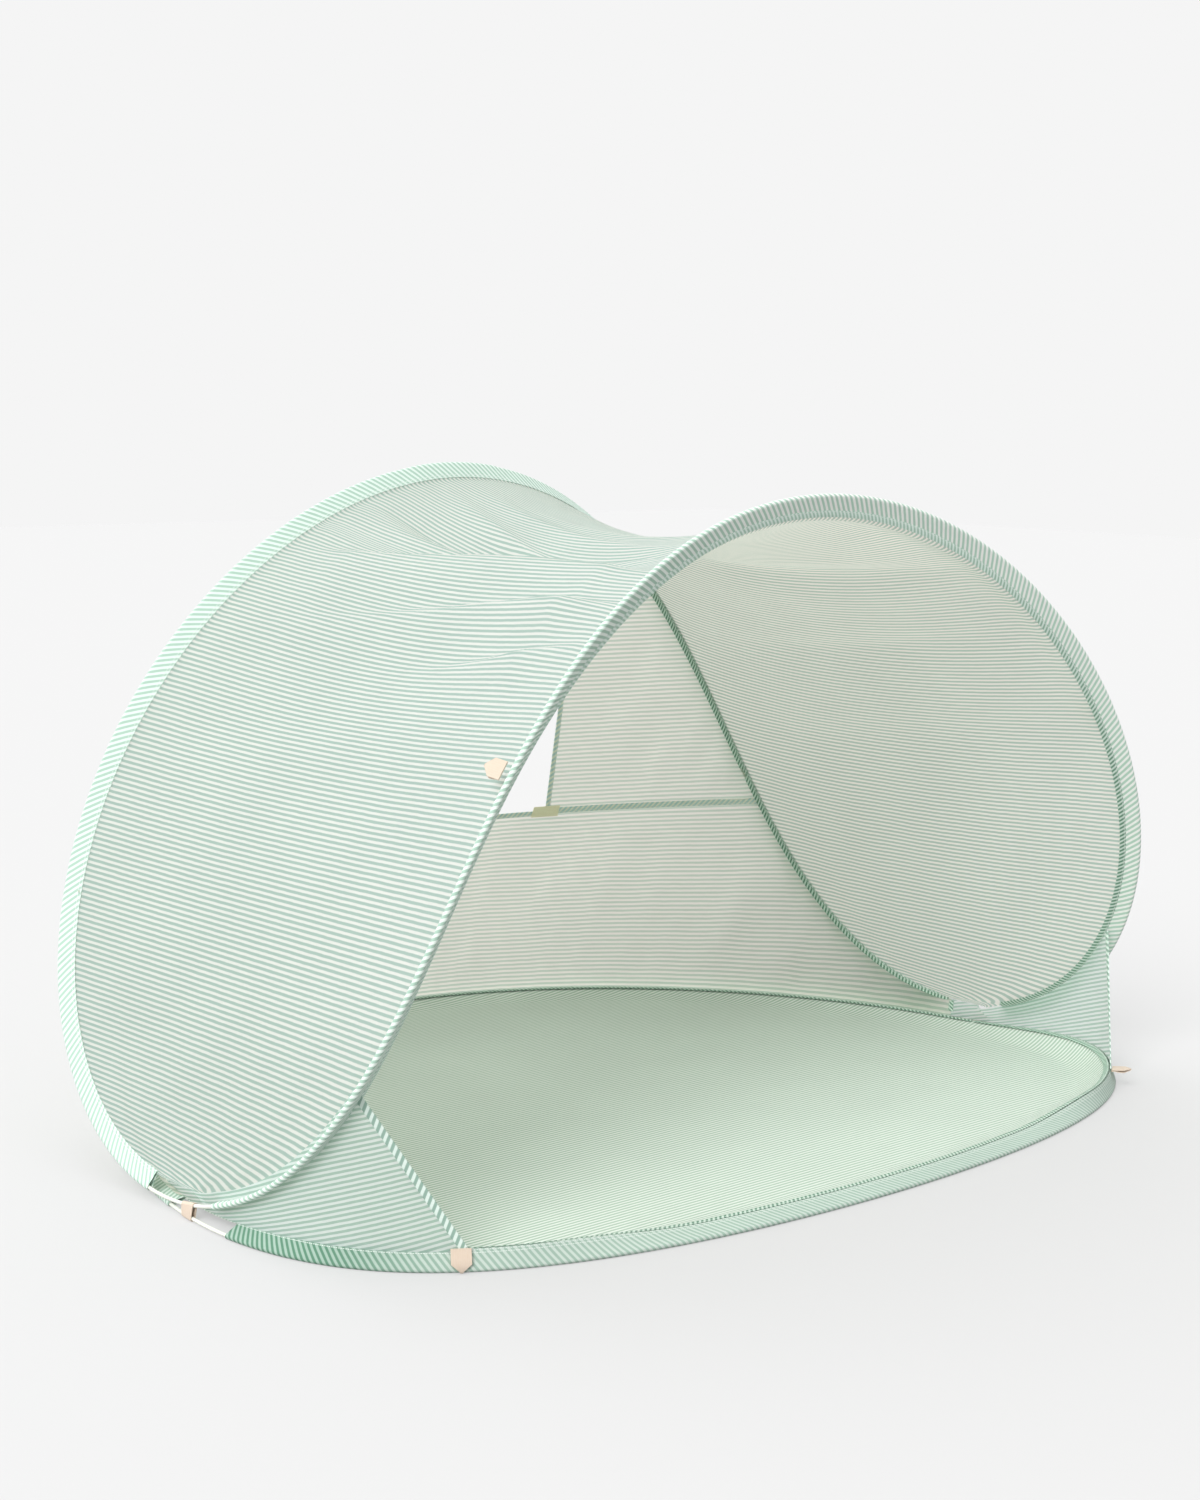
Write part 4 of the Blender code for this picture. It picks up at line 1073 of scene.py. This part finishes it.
def rear_head(u):
    """Head of the wall at share u: a short first step to the arch, then evenly along it."""
    first = 1 / HEAD_STEPS
    if u < first:
        t = -SEAM_CANOPY_ANGLE + (SEAM_CANOPY_ANGLE - REAR_ARCH_START) * u / first
    elif u > 1 - first:
        t = -pi + SEAM_CANOPY_ANGLE + (REAR_ARCH_START - SEAM_CANOPY_ANGLE) * (1 - u) / first
    else:
        t = -REAR_ARCH_START + (2 * REAR_ARCH_START - pi) * (u - first) / (1 - 2 * first)
    return canopy_seam(t, BAND_WIDTH - SEAM_LAP, -WALL_DOWN)


def head_height(u):
    return rear_head(u).z


def rear_at(u, height):
    foot = rear_foot(u)
    head = rear_head(u)
    return foot.lerp(head, (height - foot.z) / (head.z - foot.z))


def rear_normal(u, height):
    """Normal of the rear wall, towards the inside."""
    across = rear_at(u + SMALL_TURN, height) - rear_at(u - SMALL_TURN, height)
    return (rear_head(u) - rear_foot(u)).cross(across).normalized()


seam_share = angle_at(head_height, CROSS_SEAM_HEIGHT, 0, HALF)
print("cross seam meets the arch at share", round(seam_share, 3))

# %% [markdown]
# Both panels hang between seams that pull a little, so they carry shallow upright folds. The folds are a
# small height on top of the flat wall, which fades out at every seam so that the cloth stays sewn on.

# %% Lower rear wall
WALL_COLUMNS = 260
LOWER_ROWS = 34
WALL_WAVE = 0.003
WALL_WAVES = 9
HANG_FOLD = 0.0055
HANG_FADE = 2.5
WIDE_FOLD = (24, 9, 2, 2.9)
NARROW_FOLD = (52, 0, 5, 8.3)


def hang_fold(u, share, height):
    """Height of the upright folds at one point of a rear panel."""
    folds = 0
    for along, slope, upwards, place in (NARROW_FOLD, WIDE_FOLD):
        folds += noise.noise(Vector((u * along + height * slope, height * upwards, place)))
    return HANG_FOLD * folds * min(sin(pi * share) * HANG_FADE, 1)


def lower_point(u, share):
    foot = rear_foot(u).z
    height = foot + (min(CROSS_SEAM_HEIGHT, head_height(u)) - foot) * share
    wave = WALL_WAVE * sin(2 * pi * WALL_WAVES * u) * sin(pi * share) * sin(pi * u)
    if 0 < share < 1 and 0 < u < 1:
        wave += hang_fold(u, share, height)
    return rear_at(u, height) + rear_normal(u, height) * wave


def wall_cut(points):
    """Flat places of a wall panel: along the foot, and height."""
    along = run_lengths([column[0] for column in points])
    return [[(run, spot.z) for spot in column] for run, column in zip(along, points)]


points = [[lower_point(u, share) for share in spread(0, 1, LOWER_ROWS)] for u in spread(0, 1, WALL_COLUMNS)]
lower_wall = cloth("rear_wall_lower_cloth", points, wall_cut(points), wall_weave)
fasten(lower_wall, "rear_wall_lower", "base")
print("lower rear wall", round(area_of(points), 3), "m2")

# %% [markdown]
# The upper panel leaves a window open. Its columns would lean with the arch, so the ones beside the window
# are moved until the window's sides stand upright. The window itself is made by leaving those faces out.

# %% Upper rear wall
UPPER_ROWS = 46
UPPER_COLUMNS = 86
WINDOW_TOP = 0.63
WINDOW_LEAN = 0.070
WINDOW_SHIFT = -0.0095
LEAN_REACH = 0.105
FOLD_FADE = 0.05


def leaned(u, height):
    """Share of a column beside the window, moved so that the window's side stands upright."""
    if u > HALF:
        return 1 - leaned(1 - u, height)
    near = max(1 - ((u - WINDOW_SIDE) / LEAN_REACH) ** 2, 0) ** 2
    return u + (WINDOW_SHIFT + WINDOW_LEAN * (height - CROSS_SEAM_HEIGHT)) * near


def upper_height(u, share):
    return CROSS_SEAM_HEIGHT + (head_height(u) - CROSS_SEAM_HEIGHT) * share


def upper_point(u, share):
    if share == 1:
        return rear_head(u)
    height = upper_height(u, share)
    spot = rear_at(leaned(u, height), height)
    clear = min(max(WINDOW_SIDE - min(u, 1 - u), 0) / FOLD_FADE, 1)
    if share == 0 or not clear:
        return spot
    return spot + rear_normal(u, height) * hang_fold(u, share, height) * clear


window_rows = spread(0, WINDOW_TOP, round(UPPER_ROWS * WINDOW_TOP))
upper_rows = window_rows + spread(WINDOW_TOP, 1, UPPER_ROWS - len(window_rows))[1:]
beside = spread(seam_share + SMALL_TURN, WINDOW_SIDE, UPPER_COLUMNS)
upper_us = beside + spread(WINDOW_SIDE, 1 - WINDOW_SIDE, UPPER_COLUMNS)[1:-1]
upper_us += [1 - u for u in reversed(beside)]


def beside_window(i, j):
    u = (upper_us[i] + upper_us[i + 1]) * HALF
    return not (WINDOW_SIDE < u < 1 - WINDOW_SIDE and upper_rows[j + 1] < WINDOW_TOP + SMALL_TURN)


points = [[upper_point(u, share) for share in upper_rows] for u in upper_us]
upper_wall = cloth("rear_wall_upper_cloth", points, wall_cut(points), wall_weave, keep=beside_window)
fasten(upper_wall, "rear_wall_upper", "base")
print("upper rear wall", round(area_of(points), 3), "m2 before the window is cut")

# %% [markdown]
# Two small side walls close the gap between the floor and the ends of the front arch. They end in a bound
# edge that slopes back, and they fold with the front half of the tent. One is worked out, on the right,
# and the other is its mirror image.

# %% Side walls
SIDES = {"right": 0, "left": 1}
SIDE_COLUMNS = 60
SIDE_ROWS = 20
SIDE_STRIPE_TURN = radians(16)
SIDE_FOOT_SHARE = 7 / 33
SIDE_HEAD_SHARE = 5 / 39
SIDE_FOOT_END = FLOOR_FRONT_START + (pi - 2 * FLOOR_FRONT_START) * SIDE_FOOT_SHARE
SIDE_HEAD_END = FRONT_ARCH_START + (pi - 2 * FRONT_ARCH_START) * SIDE_HEAD_SHARE


def mirrored(spot, side):
    return Vector((-spot.x, spot.y, spot.z)) if side else spot.copy()


def side_at(u, share):
    foot_angle = -FLOOR_REAR_START + (SIDE_FOOT_END + FLOOR_REAR_START) * u
    head_angle = -SEAM_CANOPY_ANGLE + (SIDE_HEAD_END + SEAM_CANOPY_ANGLE) * u
    foot = floor_seam(foot_angle, BAND_WIDTH - SEAM_LAP, WALL_DOWN)
    head = canopy_seam(head_angle, BAND_WIDTH - SEAM_LAP, -WALL_DOWN)
    return foot.lerp(head, share)


def turned(along, up, turn):
    """Place on the flat cloth, seen from axes turned by an angle."""
    return along * cos(turn) + up * sin(turn), up * cos(turn) - along * sin(turn)


for side_name, side in SIDES.items():
    points = [[mirrored(side_at(u, share), side) for share in spread(0, 1, SIDE_ROWS)]
              for u in spread(0, 1, SIDE_COLUMNS)]
    foot_run = run_lengths([column[0] for column in points])
    cut = [[turned(run, height, SIDE_STRIPE_TURN) for height in run_lengths(column)]
           for run, column in zip(foot_run, points)]
    wall = cloth("side_wall_cloth_" + side_name, points, cut, side_weave, fold=turn_with_floor(points),
                 flip=not side)
    fasten(wall, "side_wall_" + side_name)
    print("side wall", side_name, round(area_of(points), 4), "m2")

# %% [markdown]
# A sleeve is a band of striped cloth folded round the rod, with its two edges sewn together on the sheet.
# Its section is a hairpin: out to the rod, round it, and back. Small ripples near the stitches show where
# the thread draws the bias-cut cloth together.

# %% Sleeves
SLEEVE_MID_RADIUS = 0.0035
SEAM_HALF_SPREAD = 0.0011
SLEEVE_COLUMNS = 300
FLAT_STEPS = 5
ROUND_STEPS = 12
RIPPLE = 0.00035
RIPPLE_SCALE = 55
RIPPLE_START = 0.006
FERRULE_HALF_LENGTH = 0.05


def sleeve_section(swell):
    """Hairpin round the rod as reach and rise pairs, both layers ending at the seam."""
    radius = SLEEVE_MID_RADIUS + swell
    leave = atan2(SEAM_HALF_SPREAD, BAND_WIDTH) + acos(radius / hypot(SEAM_HALF_SPREAD, BAND_WIDTH))
    bend = [(radius * cos(turn), radius * sin(turn)) for turn in spread(leave, 2 * pi - leave, ROUND_STEPS)]
    reaches = spread(BAND_WIDTH, bend[0][0], FLAT_STEPS + 1)
    rises = spread(SEAM_HALF_SPREAD, bend[0][1], FLAT_STEPS + 1)
    flat = list(zip(reaches, rises))[:-1]
    return flat + bend + [(reach, -rise) for reach, rise in reversed(flat)]


def sleeve_column(seam, t, run, section, widths):
    """Points round the rod at one station, with the ripples of the sewing."""
    column = []
    for (reach, rise), width in zip(section, widths):
        drawn = noise.noise(Vector((run * RIPPLE_SCALE, width * RIPPLE_SCALE, 0))) * RIPPLE
        column.append(seam(t, reach, rise + drawn * smooth_step(RIPPLE_START, BAND_WIDTH, reach)))
    return column


def sleeve(name, node, seam, rod, start, end, body, finish):
    angles = spread(start, end, SLEEVE_COLUMNS)
    runs = run_lengths([rod(t) for t in angles])
    points = []
    cut = []
    for t, run in zip(angles, runs):
        over_ferrule = abs(t + pi / 2) * FLOOR_DEPTH < FERRULE_HALF_LENGTH
        section = sleeve_section(SLEEVE_SWELL if over_ferrule else 0)
        widths = run_lengths([(reach, rise, 0) for reach, rise in section])
        points.append(sleeve_column(seam, t, run, section, widths))
        cut.append([(run, width) for width in widths])
    piece = cloth(name, points, cut, finish, THIN_CLOTH)
    fasten(piece, node, body)
    print(name, "length", round(runs[-1], 3), "m, width", round(widths[-1], 4), "m")


sleeve("front_arch_band", "front_arch_sleeve", canopy_seam, canopy_rod,
       FRONT_ARCH_START, pi - FRONT_ARCH_START, "front", band_painted_light)
sleeve("rear_arch_band", "rear_arch_sleeve", canopy_seam, canopy_rod,
       -REAR_ARCH_START, REAR_ARCH_START - pi, "base", band_outside)
sleeve("floor_front_band", "floor_front_sleeve", floor_seam, floor_rod,
       FLOOR_FRONT_START, pi - FLOOR_FRONT_START, "front", band_floor)
sleeve("floor_rear_band", "floor_rear_sleeve", floor_seam, floor_rod,
       -FLOOR_REAR_START, FLOOR_REAR_START - pi, "base", band_outside)

# %% [markdown]
# Narrow tapes cover the raw edges along every seam on the inside. Each is a folded strip, so it is a little
# crowned. The tape of the rear arch stands inwards, round the edges of three layers of cloth: the canopy,
# the sleeve and the wall.

# %% Seam tapes
SEAM_TAPE = 0.0006
TAPE_CROWN = 0.0006
ARCH_TAPE_OVERLAP = 0.005
FLANGE_BACK = 0.0025
TAPE_STEPS = 7
TAPE_UNDER = SEAM_HALF_SPREAD + THIN_CLOTH + SEAM_TAPE * HALF
TAPE_ON_FLOOR = THIN_CLOTH + SEAM_TAPE
REAR_TAPE_START = 0.085
FLOOR_TAPE_GAP = 0.0046
TAPE_SHARES = spread(0, 1, TAPE_STEPS)


def sewn_strip(name, node, points, runs, width, finish, body, flip=False):
    """Flat strip with its place on the cloth measured along runs and over its width."""
    cut = [[(run, width * share) for share in TAPE_SHARES] for run in runs]
    fasten(cloth(name, points, cut, finish, SEAM_TAPE, flip=flip), node, body)


def tape(name, node, point, start, end, body, finish=tape_finish):
    """Tape along a seam. point(t, share, lift) gives its middle surface, share 0 to 1 across."""
    angles = spread(start, end, SLEEVE_COLUMNS)
    points = [[point(t, share, TAPE_CROWN * sin(pi * share)) for share in TAPE_SHARES] for t in angles]
    sewn_strip(name, node, points, run_lengths([point(t, HALF, 0) for t in angles]), TAPE_WIDTH, finish, body)


def tape_under_canopy(t, share, lift):
    return canopy_seam(t, BAND_WIDTH - ARCH_TAPE_OVERLAP + TAPE_WIDTH * share, -TAPE_UNDER - lift)


def tape_inward(t, share, lift):
    """Tape folded round the edges that stand inwards from the rear arch's seam."""
    return canopy_seam(t, BAND_WIDTH - FLANGE_BACK + lift, -TAPE_UNDER - TAPE_WIDTH * share)


def tape_on_floor(t, share, lift):
    return floor_rim(t, SEAM_HALF_SPREAD + TAPE_WIDTH * share, TAPE_ON_FLOOR + lift)


floor_turn = angle_at(lambda t: -floor_seam(t, BAND_WIDTH, 0).y, 0, -FLOOR_REAR_START, 0)
front_end = floor_turn + FLOOR_TAPE_GAP
rear_end = floor_turn - FLOOR_TAPE_GAP
tape("front_arch_tape", "front_arch_binding", tape_under_canopy,
     FRONT_ARCH_START, pi - FRONT_ARCH_START, "front", light_tape)
tape("rear_arch_tape", "rear_arch_binding", tape_inward, -REAR_TAPE_START, REAR_TAPE_START - pi, "base")
tape("floor_front_tape", "floor_front_binding", tape_on_floor, front_end, pi - front_end, "front")
tape("floor_rear_tape", "floor_rear_binding", tape_on_floor, rear_end, -pi - rear_end, "base")
print("floor tapes meet at angle", round(floor_turn, 4))

# %% [markdown]
# Edges that end in the open have a tape folded round them instead. Seen from its end such a tape is a
# narrow U over the edge of the cloth. The front edges of the two side walls are the first of them. The rear
# end of each side wall gets a flat strip, because there it is sewn to the rear wall.

# %% Tapes of the side walls
HEM_WIDTH = 0.008
SIDE_HEM_WIDTH = 0.0095
HEM_THICKNESS = 0.0004
HEM_SWELL = 1.3
HEM_PAST_EDGE = 0.0002
EDGE_STEP = 0.02
SIDE_SEAM_LIFT = 0.001
SIDE_SEAM_STATIONS = 12


def edge_hem(name, node, edge, body, finish, width=HEM_WIDTH):
    """Tape folded round an edge. edge is a list of (point, way off the sheet, sheet normal)."""
    off_sheet = THIN_CLOTH * HALF + HEM_THICKNESS
    section = [(-width, 1), (-width * HALF, HEM_SWELL), (HEM_PAST_EDGE, 1)]
    section += [(reach, -face) for reach, face in reversed(section)]
    runs = run_lengths([spot for spot, off, normal in edge])
    widths = run_lengths([(reach, face * off_sheet, 0) for reach, face in section])
    points = [[spot + off * reach + normal * face * off_sheet for reach, face in section]
              for spot, off, normal in edge]
    cut = [[(run, across) for across in widths] for run in runs]
    fasten(cloth(name, points, cut, finish, HEM_THICKNESS), node, body)


def side_edge():
    """Front edge of the right side wall as points with the way off the sheet and its normal."""
    rise = side_at(1, 1) - side_at(1, 0)
    end_gap = HEM_WIDTH / rise.length
    rise = rise.normalized()
    edge = []
    for share in spread(end_gap, 1 - end_gap, SIDE_ROWS):
        off = side_at(1, share) - side_at(1 - EDGE_STEP, share)
        off = (off - rise * off.dot(rise)).normalized()
        edge.append((side_at(1, share), off, off.cross(rise).normalized()))
    return edge


def side_seam_points():
    """Strip over the seam at the rear end of the right side wall."""
    rise = (side_at(0, 1) - side_at(0, 0)).normalized()
    across = (side_at(SMALL_TURN, HALF) - side_at(0, HALF)).normalized()
    inside = across.cross(rise).normalized()
    if inside.x > 0:
        inside = -inside
    start = side_at(0, 0) + rise * TAPE_WIDTH
    end = side_at(0, 1) - rise * TAPE_WIDTH * HALF
    points = []
    for way in spread(0, 1, SIDE_SEAM_STATIONS):
        spot = start.lerp(end, way)
        points.append([spot + inside * (SIDE_SEAM_LIFT + TAPE_CROWN * sin(pi * share))
                       + across * TAPE_WIDTH * (share - HALF) for share in TAPE_SHARES])
    return points


for side_name, side in SIDES.items():
    edge = [[mirrored(part, side) for part in station] for station in side_edge()]
    edge_hem("side_wall_front_tape_" + side_name, "side_wall_front_binding_" + side_name, edge, "front",
             side_tape, SIDE_HEM_WIDTH)
    points = [[mirrored(spot, side) for spot in column] for column in side_seam_points()]
    runs = run_lengths([column[0] for column in points])
    sewn_strip("side_seam_tape_" + side_name, "side_seam_" + side_name, points, runs, TAPE_WIDTH,
               tape_finish, "base", not side)
print("side wall's front edge", round((side_at(1, 1) - side_at(1, 0)).length, 3), "m")

# %% [markdown]
# The window has a folded tape on every side: one at each upright side, a hem along the sill and one under
# the top edge. From each lower corner of the window a flat strip covers the level seam between the two
# panels, out to the arch.

# %% Window edges and cross seam
CROSS_SEAM_WIDTH = 0.010
HEM_STATIONS = 60
column_width = (rear_at(WINDOW_SIDE + SMALL_TURN, CROSS_SEAM_HEIGHT)
                - rear_at(WINDOW_SIDE, CROSS_SEAM_HEIGHT)).length / SMALL_TURN
hem_share = HEM_WIDTH / column_width
window_foot = WINDOW_SIDE + WINDOW_SHIFT


def wall_rise(u):
    """Direction from the foot of the rear wall to its head."""
    return (rear_head(u) - rear_foot(u)).normalized()


def window_side_edge():
    edge = []
    low = CROSS_SEAM_HEIGHT + HEM_WIDTH
    high = upper_height(WINDOW_SIDE, WINDOW_TOP) - HEM_WIDTH
    for height in spread(low, high, HEM_STATIONS // 2):
        normal = rear_normal(WINDOW_SIDE, height)
        off = wall_rise(WINDOW_SIDE).cross(normal)
        if off.x > 0:
            off = -off
        edge.append((rear_at(leaned(WINDOW_SIDE, height), height), off, normal))
    return edge


def cross_seam_column(u):
    column = []
    for way in spread(-HALF, HALF, TAPE_STEPS):
        height = CROSS_SEAM_HEIGHT + CROSS_SEAM_WIDTH * way
        lift = THIN_CLOTH + SEAM_TAPE + TAPE_CROWN * cos(pi * way)
        column.append(rear_at(u, height) + rear_normal(u, height) * lift)
    return column


cross_us = spread(seam_share + 2 * SMALL_TURN, window_foot - hem_share, UPPER_COLUMNS)
cross_runs = run_lengths([rear_at(u, CROSS_SEAM_HEIGHT) for u in cross_us])
for side_name, side in SIDES.items():
    edge = [[mirrored(part, side) for part in station] for station in window_side_edge()]
    edge_hem("window_side_tape_" + side_name, "window_side_binding_" + side_name, edge, "base", hem_finish)
    points = [[mirrored(spot, side) for spot in cross_seam_column(u)] for u in cross_us]
    sewn_strip("cross_seam_tape_" + side_name, "cross_seam_" + side_name, points, cross_runs,
               CROSS_SEAM_WIDTH, hem_finish, "base", not side)

sill = [(lower_point(u, 1), wall_rise(u), rear_normal(u, CROSS_SEAM_HEIGHT))
        for u in spread(window_foot + hem_share, 1 - window_foot - hem_share, HEM_STATIONS)]
edge_hem("window_sill_tape", "window_sill_hem", sill, "base", hem_finish)
lintel = []
for u in spread(WINDOW_SIDE + SMALL_TURN, 1 - WINDOW_SIDE - SMALL_TURN, HEM_STATIONS):
    height = upper_height(u, WINDOW_TOP)
    lintel.append((rear_at(leaned(u, height), height), -wall_rise(u), rear_normal(u, height)))
edge_hem("window_top_tape", "window_top_binding", lintel, "base", hem_finish)
print("cross seam length", round(cross_runs[-1], 3), "m on each side")

# %% [markdown]
# Short pieces of webbing do the fastening. At each corner of the tent a closed loop of it ties the two
# hoops together: it runs half round the canopy rod above and half round the floor rod below.

# %% Corner ties
WEBBING = 0.0010
WEBBING_WIDTH = 0.025
ROD_RADIUS = 0.0025
CLEARANCE = 0.0003
TIE_STEPS = 12
TIE_BLEND = 0.012
WIDTH_STEPS = 9


def webbing_strip(name, node, points, look, body=None, **shape):
    runs = run_lengths([column[len(column) // 2] for column in points])
    widths = run_lengths(points[0])
    cut = [[(run, width) for width in widths] for run in runs]
    fasten(cloth(name, points, cut, webbing_finishes[look], WEBBING, **shape), node, body)


def half_round(centre, start, end):
    """Points on the middle of the webbing round one rod, between two angles."""
    radius = ROD_RADIUS + CLEARANCE + WEBBING * HALF
    return [centre + Vector((cos(turn), 0, sin(turn))) * radius for turn in spread(start, end, TIE_STEPS)]


def tie_line(depth):
    """Closed line of the tie round both rods at one depth."""
    low = angle_at(lambda t: floor_rod(t).y, depth, -FLOOR_REAR_START, FLOOR_REAR_START)
    high = angle_at(lambda t: canopy_rod(t).y, depth, -FLOOR_REAR_START, FLOOR_REAR_START)
    over = half_round(canopy_rod(high), 0, pi)
    return over + half_round(floor_rod(low), pi, 2 * pi) + over[:1]


for side_name, side in SIDES.items():
    lines = [[mirrored(spot, side) for spot in tie_line(depth)]
             for depth in spread(-WEBBING_WIDTH * HALF, WEBBING_WIDTH * HALF, WIDTH_STEPS)]
    points = [list(column) for column in zip(*lines)]
    webbing_strip("corner_tie_webbing_" + side_name, "corner_tie_" + side_name, points, "peach_webbing",
                  fold=turn_with_floor(points, TIE_BLEND), ring=True)
print("tie length", round(run_lengths(tie_line(0))[-1], 4), "m")

# %% [markdown]
# A peg loop and a tab are the same thing in two sizes: a strip of webbing folded double, its far end drawn
# to a blunt point, its root sewn in a seam about which it can turn. Two loops on the floor sleeve take
# pegs. The left one hangs flat against the sleeve, the right one stands out from it.

# %% Peg loops
LOOP_SHOULDER = 0.018
LOOP_BELLY = 0.0015
LOOP_ASIDE = 0.012
LOOP_RISE = 0.0045
LOOP_LIFT_RIGHT = radians(75)
TAB_POINT = 0.009
TAB_TIP_WIDTH = 0.004
TAB_INNER_GAP = 0.0006
TAB_ROOT_BACK = 0.0009
BELLY_START = 0.25
BELLY_HALFWAY = 0.8
BELLY_FULL = 0.85
CAD_CLOTH = 0.0008
TAB_HALF = TAB_INNER_GAP * HALF + WEBBING


def webbing_tab(name, node, side, root, reach_way, across_way, shoulder, belly):
    """Loop of webbing pressed flat, folded to a point at its far end and free to turn at its root."""
    root, reach_way, across_way = (mirrored(part, side) for part in (root, reach_way, across_way))
    face = reach_way.cross(across_way)
    layer = (TAB_INNER_GAP + WEBBING) * HALF
    half = WEBBING_WIDTH * HALF
    tip = TAB_TIP_WIDTH * HALF
    reach = shoulder + TAB_POINT
    fat = layer + belly
    line = [(-TAB_ROOT_BACK, layer, half), (shoulder * BELLY_START, layer, half),
            (shoulder * HALF, fat * BELLY_HALFWAY, half), (shoulder * BELLY_FULL, fat, half),
            (shoulder, fat, half), (reach, layer, tip), (reach + layer, 0, tip), (reach, -layer, tip),
            (shoulder, -layer, half), (-TAB_ROOT_BACK, -layer, half)]
    points = [[root + reach_way * run + face * rise + across_way * width * way
               for way in spread(-1, 1, WIDTH_STEPS)] for run, rise, width in line]
    webbing_strip(name, node, points, "peach_webbing", node)


hang_rise = SLEEVE_MID_RADIUS + CAD_CLOTH * HALF + 2 * CLEARANCE + TAB_HALF
root = floor_seam(SIDE_FOOT_END, BAND_WIDTH, LOOP_RISE)
along = tangent(floor_rod, SIDE_FOOT_END)
hang = (floor_seam(SIDE_FOOT_END, 0, hang_rise) - root).normalized()
hang = (hang - along * hang.dot(along)).normalized()
out = hang.cross(along)
if out.y > 0:
    out = -out
for side_name, side in SIDES.items():
    lift = 0 if side else LOOP_LIFT_RIGHT
    webbing_tab("peg_loop_webbing_" + side_name, "peg_loop_" + side_name, side, root - along * LOOP_ASIDE,
                hang * cos(lift) + out * sin(lift), along, LOOP_SHOULDER, LOOP_BELLY)
print("peg loops at", [round(c, 3) for c in root])

# %% [markdown]
# Two smaller tabs sit on the front arch. They stand a little off the sleeve. The right one is sewn on
# slightly further in, so that it clears the canopy when it turns.

# %% Tabs on the front arch
TAB_SHOULDER = 0.015
TAB_BELLY = 0.004
TAB_SEATS = {"right": 0.016, "left": 0.013}
TAB_LIFT = radians(35)
TAB_ROOT_RISE = 0.0007 + CAD_CLOTH * HALF + CLEARANCE + TAB_HALF
TAB_SHARE = 11 / 39
TAB_ANGLE = FRONT_ARCH_START + (pi - 2 * FRONT_ARCH_START) * TAB_SHARE

along = tangent(canopy_rod, TAB_ANGLE)
over = (canopy_seam(TAB_ANGLE, BAND_WIDTH, 0, EVEN_AIM) - canopy_seam(TAB_ANGLE, 0, 0)).normalized()
reach_way = over * cos(TAB_LIFT) + over.cross(along) * sin(TAB_LIFT)
for side_name, side in SIDES.items():
    root = canopy_seam(TAB_ANGLE, TAB_SEATS[side_name], TAB_ROOT_RISE + SLEEVE_MID_RADIUS, EVEN_AIM)
    webbing_tab("hoop_tab_webbing_" + side_name, "hoop_tab_" + side_name, side, root, reach_way, along,
                TAB_SHOULDER, TAB_BELLY)
print("tabs at", [round(c, 3) for c in root])

# %% [markdown]
# A patch of webbing strengthens each lower corner of the window, where the cloth would tear first. It lies on
# the inside of the wall and stands a little above the sill. Its khaki colour is painted shade, the look of a
# tab seen through the lit wall.

# %% Window patches
PATCH_LENGTH = 0.050
PATCH_WIDTH = 0.019
PATCH_ABOVE_SILL = 0.009
PATCH_OFF = 0.0022
JUST_BELOW_SILL = 0.9
patch_share = PATCH_LENGTH * HALF / column_width

for side_name, side in SIDES.items():
    points = []
    for u in spread(window_foot - patch_share, window_foot + patch_share, WIDTH_STEPS):
        if side:
            u = 1 - u
        top = lower_point(u, 1)
        down = (lower_point(u, JUST_BELOW_SILL) - top).normalized()
        off = rear_normal(u, CROSS_SEAM_HEIGHT) * PATCH_OFF
        points.append([top + down * (PATCH_WIDTH * way - PATCH_ABOVE_SILL) + off
                       for way in spread(0, 1, WIDTH_STEPS)])
    # The patch takes the khaki painted shade of a tab seen through the wall.
    webbing_strip("window_patch_" + side_name, "window_corner_tab_" + side_name, points, "khaki_webbing",
                  "base", flip=bool(side))
print("pieces made:", len(made_pieces))
